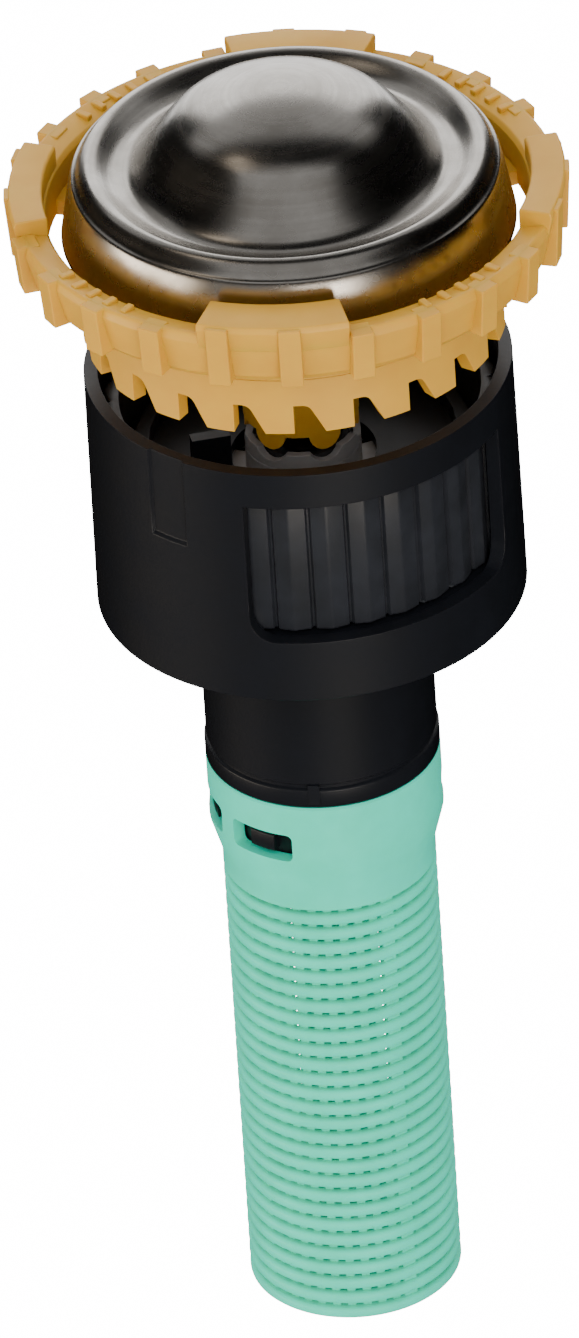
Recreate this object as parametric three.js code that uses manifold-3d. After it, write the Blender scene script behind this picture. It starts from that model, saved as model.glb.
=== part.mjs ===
// A rotary pop-up sprinkler nozzle with its filter screen, as it screws onto a riser.
//
// Millimetres, +Z up. The origin is on the axis, in the plane where the riser's top edge
// seats. Azimuth 0 is the front, towards -Y, and azimuth grows towards +X.

import * as THREE from 'three';
import { mergeGeometries, mergeVertices } from 'three/addons/utils/BufferGeometryUtils.js';
import Module from 'manifold-3d';

const wasm = await Module();
wasm.setup();

// ---------------------------------------------------------------- driving dimensions

// Segments round a full turn
const wideTurn = 32;
const narrowTurn = 20;
const screenTurn = 24;
const sectorStep = 9; // degrees to a segment on a cut or block

// Clearances
const restGap = 0.05; // between stationary faces that rest on each other
const slideGap = 0.1; // radial, between round pieces that slide or turn in each other
const runGap = 0.2; // axial, between pieces that turn against each other

// Shaft and return spring
const shaftRadius = 1.2;
const shaftBore = shaftRadius + slideGap;
const liftTravel = 4; // how far the head pulls up to be flushed
const pressTravel = 0.6; // how far the head presses down to turn the arc valve
const springTurns = 6;
const springWire = 0.45;
const springLength = 7.9;
const springMeanRadius = 2.1;
const washerHeight = 0.6;
const washerRadius = 3;
const clipHeight = 0.4;
const clipRadius = 2.2;
const clipGrooveDepth = 0.3;
const shaftTail = 0.6; // shaft below its retaining clip
const shaftAboveChamber = 2.6;

// Inlet spigot, filter screen and neck
const spigotBore = 4.8;
const spigotWall = 0.95;
const spigotLength = 4.3;
const screenCollarWall = 0.79;
const screenCollarLength = 4;
const screenTaperLength = 2.2;
const screenTaperStep = 0.6; // how much narrower the ringed tube is than its collar
const screenTubeWall = 0.73;
const screenFootTrim = 0.1; // the last ring is this much shorter than the rest
const screenRings = 28;
const screenRingPitch = 1.007;
const screenGrooveDepth = 0.4;
const screenGrooveShare = 0.44; // of a ring's pitch that its groove takes
const screenPlainBand = 1.2; // smooth tube above the first groove
const screenFloor = 0.9;
const slotHeight = 1.75;
const slotHalfAngle = 17.5;
const slotAzimuths = [-81, -36, 99, 144];
const slotAboveTaper = 0.3;
const lugHalfAngle = 7;
const lugHeight = 1.1;
const neckWall = 1.14;
const neckReveal = 0.1; // the lip stands this much proud of the neck
const neckLength = 14.7; // riser seat down to the top of the screen
const lipHeight = 1.15;
const lipGroove = 0.3;
const keyAzimuth = -6;
const keyHalfWidth = 0.33;
const inletHubDrop = 1; // from the riser's seat down to the hub
const inletHubHeight = 1.8;
const inletArms = 4;

// Threaded socket that takes the riser
const riserGap = 2.36;
const socketDepth = 3.7;
const threadWall = 1;
const threadHeight = 0.35;
const threadPitch = 0.94;
const threadTurns = 3;
const threadFootShare = 0.7; // of the pitch that a thread's foot takes
const gasketHeight = 0.5;
const seatPlate = 0.7;

// Radius ring, which the thumb turns through the shell's windows
const ringWall = 0.95;
const ringRibs = 32;
const ringRibDepth = 0.4;
const ringTopRise = 0.2; // how far the ring's wall goes up behind the window's top edge
const ringWeb = 0.65;
const splineTubeHeight = 1.85;
const splineTubeWall = 0.65;
const splineTubeBore = 6.35;
const splineCount = 6;
const splineDepth = 0.35;
const splineHalfWidth = 0.6;

// Outer shell
const shellWall = 0.8;
const shellHeight = 14.9;
const shellDraft = 0.1;
const shellEdge = 0.15;
const shellWeb = 0.9;
const windowHeight = 8.9;
const windowHalfAngle = 41;
const windowAzimuths = [23.5, 203.5];
const windowCorner = 1.5;
const padAzimuths = [-40.5, 139.5];
const padHalfAngle = 5.5;
const padDepth = 0.2;
const padHeight = 5.4;

// Throttle nut
const nutHeight = 1;
const nutLift = 0.5; // nut above the seat plate when the ring is at its middle
const nutTravel = 0.5;
const nutHoles = 6;
const postWall = 0.8;

// Nozzle hub, arc valve and nozzle cover
const spiderHeight = 0.5;
const spiderRimWall = 1.2;
const spiderArms = 6;
const armHalfWidth = 0.4;
const sleeveBoreGap = 0.1;
const sleeveWall = 1.06;
const sleeveHeight = 2.8;
const sleeveFlange = 1.1;
const sleeveFlangeHeight = 0.4;
const arcSlotWidth = 0.75;
const arcSlotAngle = 270;
const coverPlate = 0.6;
const coverRimHeight = 1.1;
const coverRimWall = 0.8;
const finHeight = 2;
const finLength = 2.2;
const finHalfWidth = 0.4;
const finAzimuth = -80;
const sealSection = 0.5;

// Drive lobes between the deflector's hub and the valve sleeve
const lobeCount = 6;
const lobeAzimuth = -36;
const lobeRadius = 1;
const lobeGap = 0.15;

// Deflector
const deflectorRadius = 11.85;
const hubRadius = 3.25;
const hubBottomAboveSleeve = 0.2;
const hubLength = 4;
const teethAboveShell = 2.7;
const teethCount = 22;
const teethAzimuth = 2.1;
const notchHeight = 1.8;
const notchTop = 0.6;
const notchFoot = 1.75;
const skirtWall = 0.9;
const coneRise = 4.2;
const coneCurve = 0.8; // below 1 the cone flattens outwards
const fluteDepth = 0.8;
const fluteTwist = 20;
const fluteStart = 0.4; // from the hub out to the flutes
const fluteRootHalfWidth = 0.16;
const fluteMouthHalfWidth = 0.75;
const deflectorWall = 1.35;
const chamberDepth = 4.9;
const deflectorFloor = 2.2;
const bushingWall = 0.6;
const bushingLength = 1.8;

// Brake inside the deflector
const shaftSealHeight = 0.8;
const shaftSealWall = 1.7;
const retainerHeight = 1;
const brakePadHeight = 1.2;
const brakePadWidth = 5;
const brakePadBore = 3;
const frictionDiskHeight = 0.8;

// Grip crown round the head
const crownGap = 0.8; // open all round between the cap and the crown
const crownWall = 1.85;
const crownRibs = 24;
const crownRibProud = 0.4;
const crownRibHalfWidth = 0.7;
const crownRibDrop = 0.2;
const crownRibAzimuth = -1.5;
const crownHeight = 2.8;
const crownFoot = 0.5;
const crownAboveTeeth = 5.7;
const crownBlockRise = 0.8;
const crownBlockHalfAngle = 16;
const crownBlockAzimuths = [-5, 85, 175, 265];
const crownBlockReach = [0.65, 0, 0.65, 0]; // how far each block reaches in past the crown's bore
const crownTopSlope = 0.35; // how much lower the crown's inner edge is than its outer one
const spokeCount = 8;
const spokeAzimuth = 22.5;
const spokeHalfAngle = 5;
const spokeHeight = 1;

// Pressed cap
const capSheet = 0.4;
const capGapOverWall = 0.2;
const capRimGap = 0.45;
const capSkirtLength = 3.25;
const capShoulderInset = 1;
const capShoulderHeight = 1.95;
const capShoulderDrop = 0.75; // from the crest down to the outermost point of the shoulder
const capSkirtFlare = 0.6;
const capTroughRadius = 8.8;
const capTroughDepth = 0.7;
const capDomeHeight = 5.05;
const capDomeBrow = [0.34, 0.085]; // share of the dome's radius, share of its height below the top
const capDomeFlank = [0.67, 0.35];

// ---------------------------------------------------------------- sizes that follow

// Radii, from the spigot outwards
const spigotRadius = spigotBore + spigotWall;
const collarBore = spigotRadius + slideGap;
const collarRadius = collarBore + screenCollarWall;
const neckRadius = collarRadius - neckReveal;
const neckBore = neckRadius - neckWall;
const threadRadius = neckRadius + riserGap;
const threadWallRadius = threadRadius + threadWall;
const ringBore = threadWallRadius + runGap;
const ringRadius = ringBore + ringWall;
const shellBore = ringRadius + slideGap + restGap;
const shellRadius = shellBore + shellWall;

// Heights of the stationary stack, from the riser's seat upwards
const seatPlateBottom = gasketHeight + restGap;
const seatPlateTop = seatPlateBottom + seatPlate;
const shellBottom = -socketDepth;
const shellTop = shellBottom + shellHeight;
const shellWebTop = 0;
const windowBottom = shellWebTop + slideGap;
const windowTop = windowBottom + windowHeight;
const ringBottom = shellWebTop + runGap;
const ringTop = windowTop + ringTopRise;
const webBottom = seatPlateTop + runGap;
const splineTubeTop = webBottom + splineTubeHeight;
const nutBottom = seatPlateTop + nutLift;
const nutTop = nutBottom + nutHeight;
const spiderBottom = nutTop + nutTravel + restGap + slideGap;
const spiderTop = spiderBottom + spiderHeight;
const sleeveBottom = spiderTop + slideGap;
const sleeveTop = sleeveBottom + sleeveHeight;
const coverBottom = sleeveBottom + sleeveFlangeHeight + slideGap;
const coverTop = coverBottom + coverPlate;

// Arc valve
const postRadius = shaftBore + postWall;
const sleeveBore = postRadius + sleeveBoreGap;
const sleeveRadius = sleeveBore + sleeveWall;
const flangeRadius = sleeveRadius + sleeveFlange;
const coverBore = sleeveRadius + slideGap;
const coverRadius = ringBore - slideGap - sealSection - restGap;
const spiderRimRadius = splineTubeBore - 4 * slideGap;

// Inlet hub and spring, below the seat
const inletHubTop = -inletHubDrop;
const inletHubBottom = inletHubTop - inletHubHeight;
const springTop = inletHubBottom - restGap;
const springBottom = springTop - springLength;
const washerTop = springBottom - restGap;
const clipTop = washerTop - washerHeight - restGap;
const shaftBottom = clipTop - clipHeight - shaftTail;

// Filter screen
const screenTop = -neckLength;
const screenTaperTop = screenTop - screenCollarLength;
const screenTubeTop = screenTaperTop - screenTaperLength;
const screenTubeRadius = collarRadius - screenTaperStep;
const screenTubeBore = screenTubeRadius - screenTubeWall;
const screenFirstGroove = screenTubeTop - screenPlainBand;
const screenBottom = screenFirstGroove - screenRings * screenRingPitch + screenFootTrim;
const slotBottom = screenTaperTop + slotAboveTaper;

// Deflector
const hubBottom = sleeveTop + hubBottomAboveSleeve;
const teethBottom = shellTop + teethAboveShell;
const notchTopZ = teethBottom + notchHeight;
const coneOuter = deflectorRadius - skirtWall;
const coneBottom = hubBottom + hubLength;
const coneTop = coneBottom + coneRise;
const chamberFloor = coneTop + deflectorFloor;
const chamberTop = chamberFloor + chamberDepth;
const chamberRadius = deflectorRadius - deflectorWall;
const bushingRadius = shaftBore + bushingWall;

// Crown
const capRimRadius = deflectorRadius + capRimGap + capSheet;
const crownBore = capRimRadius + crownGap;
const crownRadius = crownBore + crownWall;
const crownBottom = teethBottom + crownAboveTeeth;
const crownTop = crownBottom + crownHeight;
const crownFootBottom = crownBottom - crownFoot;
const spokeBottom = crownFootBottom;

// Brake stack
const shaftSealBottom = chamberFloor + slideGap;
const retainerBottom = shaftSealBottom + shaftSealHeight + runGap;
const brakePadBottom = retainerBottom + retainerHeight + restGap;
const frictionDiskBottom = brakePadBottom + brakePadHeight + runGap;
const frictionDiskTop = frictionDiskBottom + frictionDiskHeight;
const shaftTop = chamberTop + shaftAboveChamber;

// Cap
const capRimZ = spokeBottom + spokeHeight + runGap;
const capShoulderTop = chamberTop + capSheet + capGapOverWall + capShoulderHeight;

// ---------------------------------------------------------------- helpers

const radians = THREE.MathUtils.degToRad;

/** Turns a closed outline of [radius, height] points about the Z axis. */
function lathe(outline, segments = wideTurn) {
  const points = outline.map(([radius, height]) => new THREE.Vector2(radius, height));
  const onAxis = points[0].x === 0 && points.at(-1).x === 0;
  if (!onAxis) points.push(points[0].clone());
  return new THREE.LatheGeometry(points, segments).rotateX(Math.PI / 2);
}

/** A plain tube, or a disc when its bore is 0. */
function tube(bore, radius, bottom, top, segments = wideTurn) {
  return lathe([[bore, bottom], [radius, bottom], [radius, top], [bore, top]], segments);
}

/** A flat shape in plan, raised between two heights. */
function prism(shape, bottom, top, curveSegments = 6) {
  const settings = { depth: top - bottom, bevelEnabled: false, curveSegments };
  return new THREE.ExtrudeGeometry(shape, settings).translate(0, 0, bottom);
}

/** A block bounded by two radii, two heights and an angle either side of an azimuth. */
function sector(inner, outer, bottom, top, azimuth, halfAngle) {
  const from = radians(azimuth - halfAngle - 90);
  const to = radians(azimuth + halfAngle - 90);
  const shape = new THREE.Shape();
  shape.absarc(0, 0, outer, from, to, false);
  shape.absarc(0, 0, inner, to, from, true);
  return prism(shape, bottom, top, Math.max(2, Math.ceil((2 * halfAngle) / sectorStep)));
}

/** A straight block that runs outwards from one radius to another at an azimuth. */
function radialBlock(inner, outer, halfWidth, bottom, top, azimuth) {
  const block = new THREE.BoxGeometry(2 * halfWidth, outer - inner, top - bottom);
  return block.translate(0, -(inner + outer) / 2, (bottom + top) / 2).rotateZ(radians(azimuth));
}

/** A round bar that runs outwards from one radius to another at an azimuth. */
function radialBar(inner, outer, radius, height, azimuth, segments = 16) {
  const bar = new THREE.CylinderGeometry(radius, radius, outer - inner, segments);
  return bar.translate(0, -(inner + outer) / 2, height).rotateZ(radians(azimuth));
}

/** An outline of [across, height] points at the front, pushed outwards, then turned. */
function radialPrism(outline, inner, outer, azimuth) {
  const shape = new THREE.Shape(outline.map(([across, height]) => new THREE.Vector2(across, height)));
  const settings = { depth: outer - inner, bevelEnabled: false };
  const block = new THREE.ExtrudeGeometry(shape, settings).rotateX(Math.PI / 2);
  return block.translate(0, -inner, 0).rotateZ(radians(azimuth));
}

/** Copies of one piece, spaced evenly round the axis and joined into one geometry. */
function ringOf(count, first, makePiece) {
  const pieces = Array.from({ length: count }, (_, index) => makePiece(first + (360 * index) / count));
  return mergeGeometries(pieces.map(bare));
}

/** One geometry holding several separate pieces. */
function together(pieces) {
  return mergeGeometries(pieces.map(bare));
}

/** The same geometry as loose triangles with positions alone. */
function bare(geometry) {
  const loose = geometry.index ? geometry.toNonIndexed() : geometry.clone();
  loose.deleteAttribute('normal');
  loose.deleteAttribute('uv');
  loose.clearGroups();
  return loose;
}

/** A closed geometry as a solid that can be joined and cut. */
function solid(geometry) {
  const merged = mergeVertices(bare(geometry), 1e-5);
  const corners = merged.index.array;
  const kept = [];
  for (let start = 0; start < corners.length; start += 3) {
    const [a, b, c] = corners.subarray(start, start + 3);
    if (a !== b && b !== c && c !== a) kept.push(a, b, c);
  }
  const mesh = new wasm.Mesh({
    numProp: 3,
    vertProperties: Float32Array.from(merged.attributes.position.array),
    triVerts: Uint32Array.from(kept),
  });
  return new wasm.Manifold(mesh);
}

/** A solid as a geometry again. */
function geometryOf(shape) {
  const mesh = shape.getMesh();
  const geometry = new THREE.BufferGeometry();
  geometry.setAttribute('position', new THREE.BufferAttribute(mesh.vertProperties, 3));
  geometry.setIndex(new THREE.BufferAttribute(mesh.triVerts, 1));
  geometry.computeVertexNormals();
  return geometry;
}

/** A base geometry with others joined to it and others cut from it. */
function build(base, { joined = [], cut = [] }) {
  let shape = solid(base);
  for (const piece of joined) shape = shape.add(solid(piece));
  for (const piece of cut) shape = shape.subtract(solid(piece));
  return geometryOf(shape);
}

/** A ridge of triangular section that climbs round a bore, pointing inwards. */
function threadRidge(radius, height, pitch, turns, bottom) {
  const stepsPerTurn = 16;
  const steps = stepsPerTurn * turns;
  const halfFoot = (pitch * threadFootShare) / 2;
  const section = [[radius + height, -halfFoot], [radius + height, halfFoot], [radius - height, 0]];
  const corner = (step, [reach, offset]) => {
    const angle = (2 * Math.PI * step) / stepsPerTurn;
    const rise = bottom + (pitch * step) / stepsPerTurn + offset;
    return new THREE.Vector3(reach * Math.sin(angle), -reach * Math.cos(angle), rise);
  };
  const triangles = [];
  for (let step = 0; step < steps; step += 1) {
    section.forEach((here, index) => {
      const next = section[(index + 1) % section.length];
      const [a, b] = [corner(step, here), corner(step, next)];
      const [c, d] = [corner(step + 1, next), corner(step + 1, here)];
      triangles.push(a, c, b, a, d, c);
    });
  }
  const ends = section.map((point) => [corner(0, point), corner(steps, point)]);
  triangles.push(ends[0][0], ends[1][0], ends[2][0], ends[2][1], ends[1][1], ends[0][1]);
  return new THREE.BufferGeometry().setFromPoints(triangles);
}

// ---------------------------------------------------------------- inlet and housing

/** Shell, riser socket, neck and spigot: one moulding. */
function bodyShell() {
  const lipBottom = screenTop + restGap;
  const lipTop = lipBottom + lipHeight;
  const spigotBottom = lipBottom - spigotLength;
  const footRadius = shellRadius + shellDraft;
  const profile = lathe([
    [spigotBore, spigotBottom],
    [spigotRadius, spigotBottom],
    [spigotRadius, lipBottom],
    [collarRadius, lipBottom],
    [collarRadius, lipTop],
    [neckRadius - neckReveal, lipTop + neckReveal],
    [neckRadius - neckReveal, lipTop + lipGroove],
    [neckRadius, lipTop + lipGroove + neckReveal],
    [neckRadius, seatPlateBottom],
    [threadRadius, seatPlateBottom],
    [threadRadius, shellBottom + shellEdge],
    [threadRadius + shellEdge, shellBottom],
    [threadWallRadius, shellBottom],
    [threadWallRadius, shellWebTop - shellWeb],
    [shellBore, shellWebTop - shellWeb],
    [shellBore, shellBottom],
    [footRadius - shellEdge, shellBottom],
    [footRadius, shellBottom + shellEdge],
    [shellRadius, shellTop - shellEdge],
    [shellRadius - shellEdge, shellTop],
    [shellBore, shellTop],
    [shellBore, shellWebTop],
    [threadWallRadius, shellWebTop],
    [threadWallRadius, seatPlateTop],
    [neckBore, seatPlateTop],
    [neckBore, lipTop],
    [spigotBore, lipBottom],
  ]);
  const past = footRadius + 1;
  const inside = shellBore - restGap;
  const cornerAngle = THREE.MathUtils.radToDeg(windowCorner / shellRadius);
  const windowParts = windowAzimuths.flatMap((azimuth) => [
    sector(inside, past, windowBottom + windowCorner, windowTop, azimuth, windowHalfAngle),
    sector(inside, past, windowBottom, windowTop, azimuth, windowHalfAngle - cornerAngle),
    ...[-1, 1].map((side) => {
      const corner = azimuth + side * (windowHalfAngle - cornerAngle);
      return radialBar(inside, past, windowCorner, windowBottom + windowCorner, corner);
    }),
  ]);
  const pads = padAzimuths.map((azimuth) => {
    const back = shellRadius - padDepth;
    return sector(back, past, shellTop - padHeight, shellTop + 1, azimuth, padHalfAngle);
  });
  const slotMiddle = slotBottom + slotHeight / 2;
  const lugReach = collarRadius - screenCollarWall / 3;
  const lugs = slotAzimuths.map((azimuth) => {
    const [low, high] = [slotMiddle - lugHeight / 2, slotMiddle + lugHeight / 2];
    return sector(spigotRadius - spigotWall / 3, lugReach, low, high, azimuth, lugHalfAngle);
  });
  const key = radialBlock(neckRadius - neckWall / 2, collarRadius + restGap, keyHalfWidth,
    lipBottom + lipHeight / 4, lipTop + lipGroove + neckReveal, keyAzimuth);
  const ridgeBottom = shellBottom + threadPitch / 2;
  const thread = threadRidge(threadRadius, threadHeight, threadPitch, threadTurns, ridgeBottom);
  return build(profile, { joined: [...lugs, key, thread], cut: [...windowParts, ...pads] });
}

/** Flat washer that the riser's top edge seals against. */
function riserGasket() {
  return tube(neckRadius + slideGap, threadRadius - threadHeight - slideGap, 0, gasketHeight);
}

/** Spider in the neck that carries the centre post and backs the spring. */
function inletHub() {
  const rim = neckBore - restGap;
  const post = tube(shaftBore, postRadius, inletHubBottom, sleeveTop - 2 * sealSection, narrowTurn);
  const outerRing = tube(rim - spigotWall, rim, inletHubBottom, inletHubTop);
  const arms = ringOf(inletArms, 180 / inletArms, (azimuth) => radialBlock(
    (shaftBore + postRadius) / 2, rim - spigotWall / 2, armHalfWidth, inletHubBottom, inletHubTop, azimuth,
  ));
  return build(post, { joined: [outerRing, arms] });
}

/** Spider on the centre post that carries the nozzle cover. */
function nozzleHub() {
  const bore = postRadius + restGap;
  const hub = tube(bore, bore + postWall, spiderBottom, spiderTop, narrowTurn);
  const rimBore = spiderRimRadius - spiderRimWall;
  const rim = tube(rimBore, spiderRimRadius, spiderBottom, spiderTop);
  const arms = ringOf(spiderArms, 0, (azimuth) => radialBlock(
    bore + postWall / 2, rimBore + spiderRimWall / 2, armHalfWidth, spiderBottom, spiderTop, azimuth,
  ));
  return build(hub, { joined: [rim, arms] });
}

/** Plate with the arc slot round the valve sleeve, and the fin that ends the arc. */
function nozzleCover() {
  const footBore = flangeRadius + slideGap;
  const profile = lathe([
    [coverBore, coverBottom],
    [footBore, coverBottom],
    [footBore, spiderTop + restGap],
    [spiderRimRadius, spiderTop + restGap],
    [spiderRimRadius, coverBottom],
    [coverRadius, coverBottom],
    [coverRadius, coverTop],
    [coverRadius - restGap, coverTop + coverRimHeight],
    [coverRadius - coverRimWall, coverTop + coverRimHeight],
    [coverRadius - coverRimWall, coverTop],
    [coverBore, coverTop],
  ]);
  const slotEdge = coverBore + arcSlotWidth;
  const arcSlot = sector(coverBore - slideGap, slotEdge, coverBottom - 1, coverTop + 1, 0, arcSlotAngle / 2);
  const finInner = slotEdge + restGap;
  const fin = radialBlock(
    finInner, finInner + finLength, finHalfWidth, coverBottom + restGap, coverTop + finHeight, finAzimuth,
  );
  return build(profile, { joined: [fin], cut: [arcSlot] });
}

/** Square-cut seal between the nozzle cover and the radius ring. */
function coverSeal() {
  const inner = coverRadius + restGap;
  return tube(inner, inner + sealSection, coverBottom, coverBottom + sealSection);
}

/** Coil spring round the shaft, which draws the head down. */
function returnSpring() {
  const stepsPerTurn = 9;
  const wireRadius = springWire / 2;
  const climb = springLength - springWire;
  const points = Array.from({ length: springTurns * stepsPerTurn + 1 }, (_, step) => {
    const angle = (2 * Math.PI * step) / stepsPerTurn;
    const height = springBottom + wireRadius + (climb * step) / (springTurns * stepsPerTurn);
    return new THREE.Vector3(springMeanRadius * Math.cos(angle), springMeanRadius * Math.sin(angle), height);
  });
  const section = new THREE.Shape(Array.from({ length: 6 }, (_, corner) => {
    const angle = (Math.PI * corner) / 3;
    return new THREE.Vector2(wireRadius * Math.cos(angle), wireRadius * Math.sin(angle));
  }));
  const extrudePath = new THREE.CatmullRomCurve3(points);
  return new THREE.ExtrudeGeometry(section, { steps: springTurns * stepsPerTurn, extrudePath });
}

// ---------------------------------------------------------------- adjusting pieces

/** Knurled ring with a splined tube inside it. */
function radiusRing() {
  const pitch = (2 * Math.PI) / ringRibs;
  const outline = new THREE.Shape(Array.from({ length: ringRibs }, (_, rib) => [
    [0, ringRadius - ringRibDepth],
    [0.1, ringRadius],
    [0.9, ringRadius - restGap],
  ].map(([share, radius]) => {
    const angle = pitch * (rib + share) - Math.PI / 2;
    return new THREE.Vector2(radius * Math.cos(angle), radius * Math.sin(angle));
  })).flat());
  const bore = new THREE.Path().absarc(0, 0, ringBore, 0, 2 * Math.PI, true);
  outline.holes.push(bore);
  const wall = prism(outline, ringBottom, ringTop, wideTurn / 2);
  const tubeRadius = splineTubeBore + splineTubeWall;
  const inside = lathe([
    [splineTubeBore, webBottom],
    [ringBore + ringWall / 4, webBottom],
    [ringBore + ringWall / 4, webBottom + ringWeb],
    [tubeRadius, webBottom + ringWeb],
    [tubeRadius, splineTubeTop],
    [splineTubeBore, splineTubeTop],
  ]);
  const grooves = ringOf(splineCount, 0, (azimuth) => radialBlock(
    splineTubeBore - 1, splineTubeBore + splineDepth, splineHalfWidth,
    webBottom - 1, splineTubeTop + 1, azimuth,
  ));
  return build(wall, { joined: [inside], cut: [grooves] });
}

/** Nut that the ring's splines turn, so that it climbs the post and throttles the inlet. */
function throttleNut() {
  const bore = postRadius + slideGap;
  const radius = splineTubeBore - slideGap - restGap;
  const disc = tube(bore, radius, nutBottom, nutTop);
  const teeth = ringOf(splineCount, 0, (azimuth) => radialBlock(
    radius - 1, splineTubeBore + splineDepth - slideGap, splineHalfWidth - slideGap,
    nutBottom, nutTop, azimuth,
  ));
  const [holeInner, holeOuter] = [bore + postWall, radius - postWall];
  const holes = ringOf(nutHoles, 180 / nutHoles, (azimuth) => sector(
    holeInner, holeOuter, nutBottom - 1, nutTop + 1, azimuth, 120 / nutHoles,
  ));
  return build(disc, { joined: [teeth], cut: [holes] });
}

/** Sleeve whose flange opens and closes the arc slot, with notches for the drive lobes. */
function valveSleeve() {
  const flangeTop = sleeveBottom + sleeveFlangeHeight;
  const sealPocket = sleeveBore + sealSection + slideGap;
  const pocketFloor = sleeveTop - 2 * sealSection;
  const profile = lathe([
    [sleeveBore, sleeveBottom],
    [flangeRadius, sleeveBottom],
    [flangeRadius, flangeTop],
    [sleeveRadius, flangeTop],
    [sleeveRadius, sleeveTop],
    [sealPocket, sleeveTop],
    [sealPocket, pocketFloor],
    [sleeveBore, pocketFloor],
  ]);
  const opening = sector(sleeveRadius + restGap, flangeRadius + 1, sleeveBottom - 1, flangeTop + 1,
    arcSlotAngle / 2 + 45, arcSlotAngle / 4);
  const notchCentre = hubBottom + lobeRadius - pressTravel;
  const notches = ringOf(lobeCount, lobeAzimuth, (azimuth) => radialBar(
    sealPocket - 0.3, sleeveRadius + 1, lobeRadius + lobeGap, notchCentre, azimuth, 16,
  ));
  return build(profile, { cut: [opening, notches] });
}

/** O-ring between the sleeve and the centre post. */
function sleeveSeal() {
  const inner = postRadius + restGap;
  const bottom = sleeveTop - 2 * sealSection + restGap;
  const minor = sealSection / 2;
  const outline = Array.from({ length: 6 }, (_, corner) => {
    const angle = (Math.PI * corner) / 3;
    return [inner + minor + minor * Math.cos(angle), bottom + minor + minor * Math.sin(angle)];
  });
  return lathe(outline, narrowTurn);
}

// ---------------------------------------------------------------- head

/** Steel shaft with a groove for its retaining clip. */
function shaft() {
  const neck = shaftRadius - clipGrooveDepth;
  const chamfer = shaftRadius / 6;
  return lathe([
    [0, shaftBottom],
    [shaftRadius - chamfer, shaftBottom],
    [shaftRadius, shaftBottom + chamfer],
    [shaftRadius, clipTop - clipHeight - restGap],
    [neck, clipTop - clipHeight - restGap],
    [neck, clipTop + restGap],
    [shaftRadius, clipTop + restGap],
    [shaftRadius, shaftTop - chamfer],
    [shaftRadius - chamfer, shaftTop],
    [0, shaftTop],
  ], narrowTurn);
}

/** Washer that the spring pushes on. */
function springWasher() {
  return tube(shaftBore, washerRadius, washerTop - washerHeight, washerTop, narrowTurn);
}

/** C-shaped clip in the shaft's groove. */
function retainingClip() {
  const bore = shaftRadius - clipGrooveDepth + restGap;
  const disc = tube(bore, clipRadius, clipTop - clipHeight, clipTop, narrowTurn);
  const mouth = radialBlock(0, clipRadius + 1, bore * 0.8, clipTop - 1, clipTop + 1, 180);
  return build(disc, { cut: [mouth] });
}

/** Tapered lip seal that keeps water out of the brake. */
function shaftSeal() {
  const top = shaftSealBottom + shaftSealHeight;
  return lathe([
    [shaftBore, shaftSealBottom],
    [shaftBore + shaftSealWall, shaftSealBottom],
    [shaftBore + shaftSealWall, top - shaftSealHeight / 3],
    [shaftBore + shaftSealWall / 3, top],
    [shaftBore, top],
  ], narrowTurn);
}

/** Disc fixed on the shaft, under the brake pad. */
function sealRetainer() {
  const bore = shaftRadius + restGap;
  return tube(bore, brakePadBore + brakePadWidth + 4 * slideGap, retainerBottom,
    retainerBottom + retainerHeight, narrowTurn);
}

/** Soft ring that the friction disk rubs on. */
function brakePad() {
  return tube(brakePadBore, brakePadBore + brakePadWidth, brakePadBottom, brakePadBottom + brakePadHeight);
}

/** Disk that turns with the deflector and rubs on the brake pad. */
function frictionDisk() {
  return tube(shaftBore, chamberRadius - slideGap, frictionDiskBottom, frictionDiskTop);
}

/** Bearing pressed into the deflector's hub. */
function hubBushing() {
  const bottom = hubBottom + bushingWall;
  return tube(shaftBore, bushingRadius, bottom, bottom + bushingLength, narrowTurn);
}

/** Height of the deflector's fluted underside at a radius. */
function coneHeight(radius) {
  const share = (radius - hubRadius) / (coneOuter - hubRadius);
  return coneBottom + coneRise * share ** coneCurve;
}

/** One curved wedge in plan, which sweeps outwards from the hub to a notch. */
function fluteWedge(azimuth) {
  const [innermost, outermost] = [hubRadius + fluteStart, deflectorRadius - skirtWall / 3];
  const steps = 2;
  const side = (sign) => Array.from({ length: steps + 1 }, (_, step) => {
    const share = step / steps;
    const radius = innermost + (outermost - innermost) * share;
    const halfWidth = fluteRootHalfWidth + (fluteMouthHalfWidth - fluteRootHalfWidth) * share;
    const angle = radians(azimuth - 90 - fluteTwist * (1 - share) ** 2) + (sign * halfWidth) / radius;
    return new THREE.Vector2(radius * Math.cos(angle), radius * Math.sin(angle));
  });
  const shape = new THREE.Shape([...side(-1), ...side(1).reverse()]);
  return prism(shape, coneBottom - 3, coneTop + 3);
}

/** Rounded lobe under the hub that fits a notch of the valve sleeve. */
function driveLobe(azimuth) {
  const centre = hubBottom + lobeRadius;
  const [inner, outer] = [bushingRadius + 4 * slideGap, sleeveRadius - restGap];
  const root = centre + lobeRadius;
  const sides = 6;
  const outline = Array.from({ length: sides + 1 }, (_, step) => {
    const angle = Math.PI + (Math.PI * step) / sides;
    return [lobeRadius * Math.cos(angle), centre + lobeRadius * Math.sin(angle)];
  });
  return radialPrism([...outline, [lobeRadius, root], [-lobeRadius, root]], inner, outer, azimuth);
}

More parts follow.
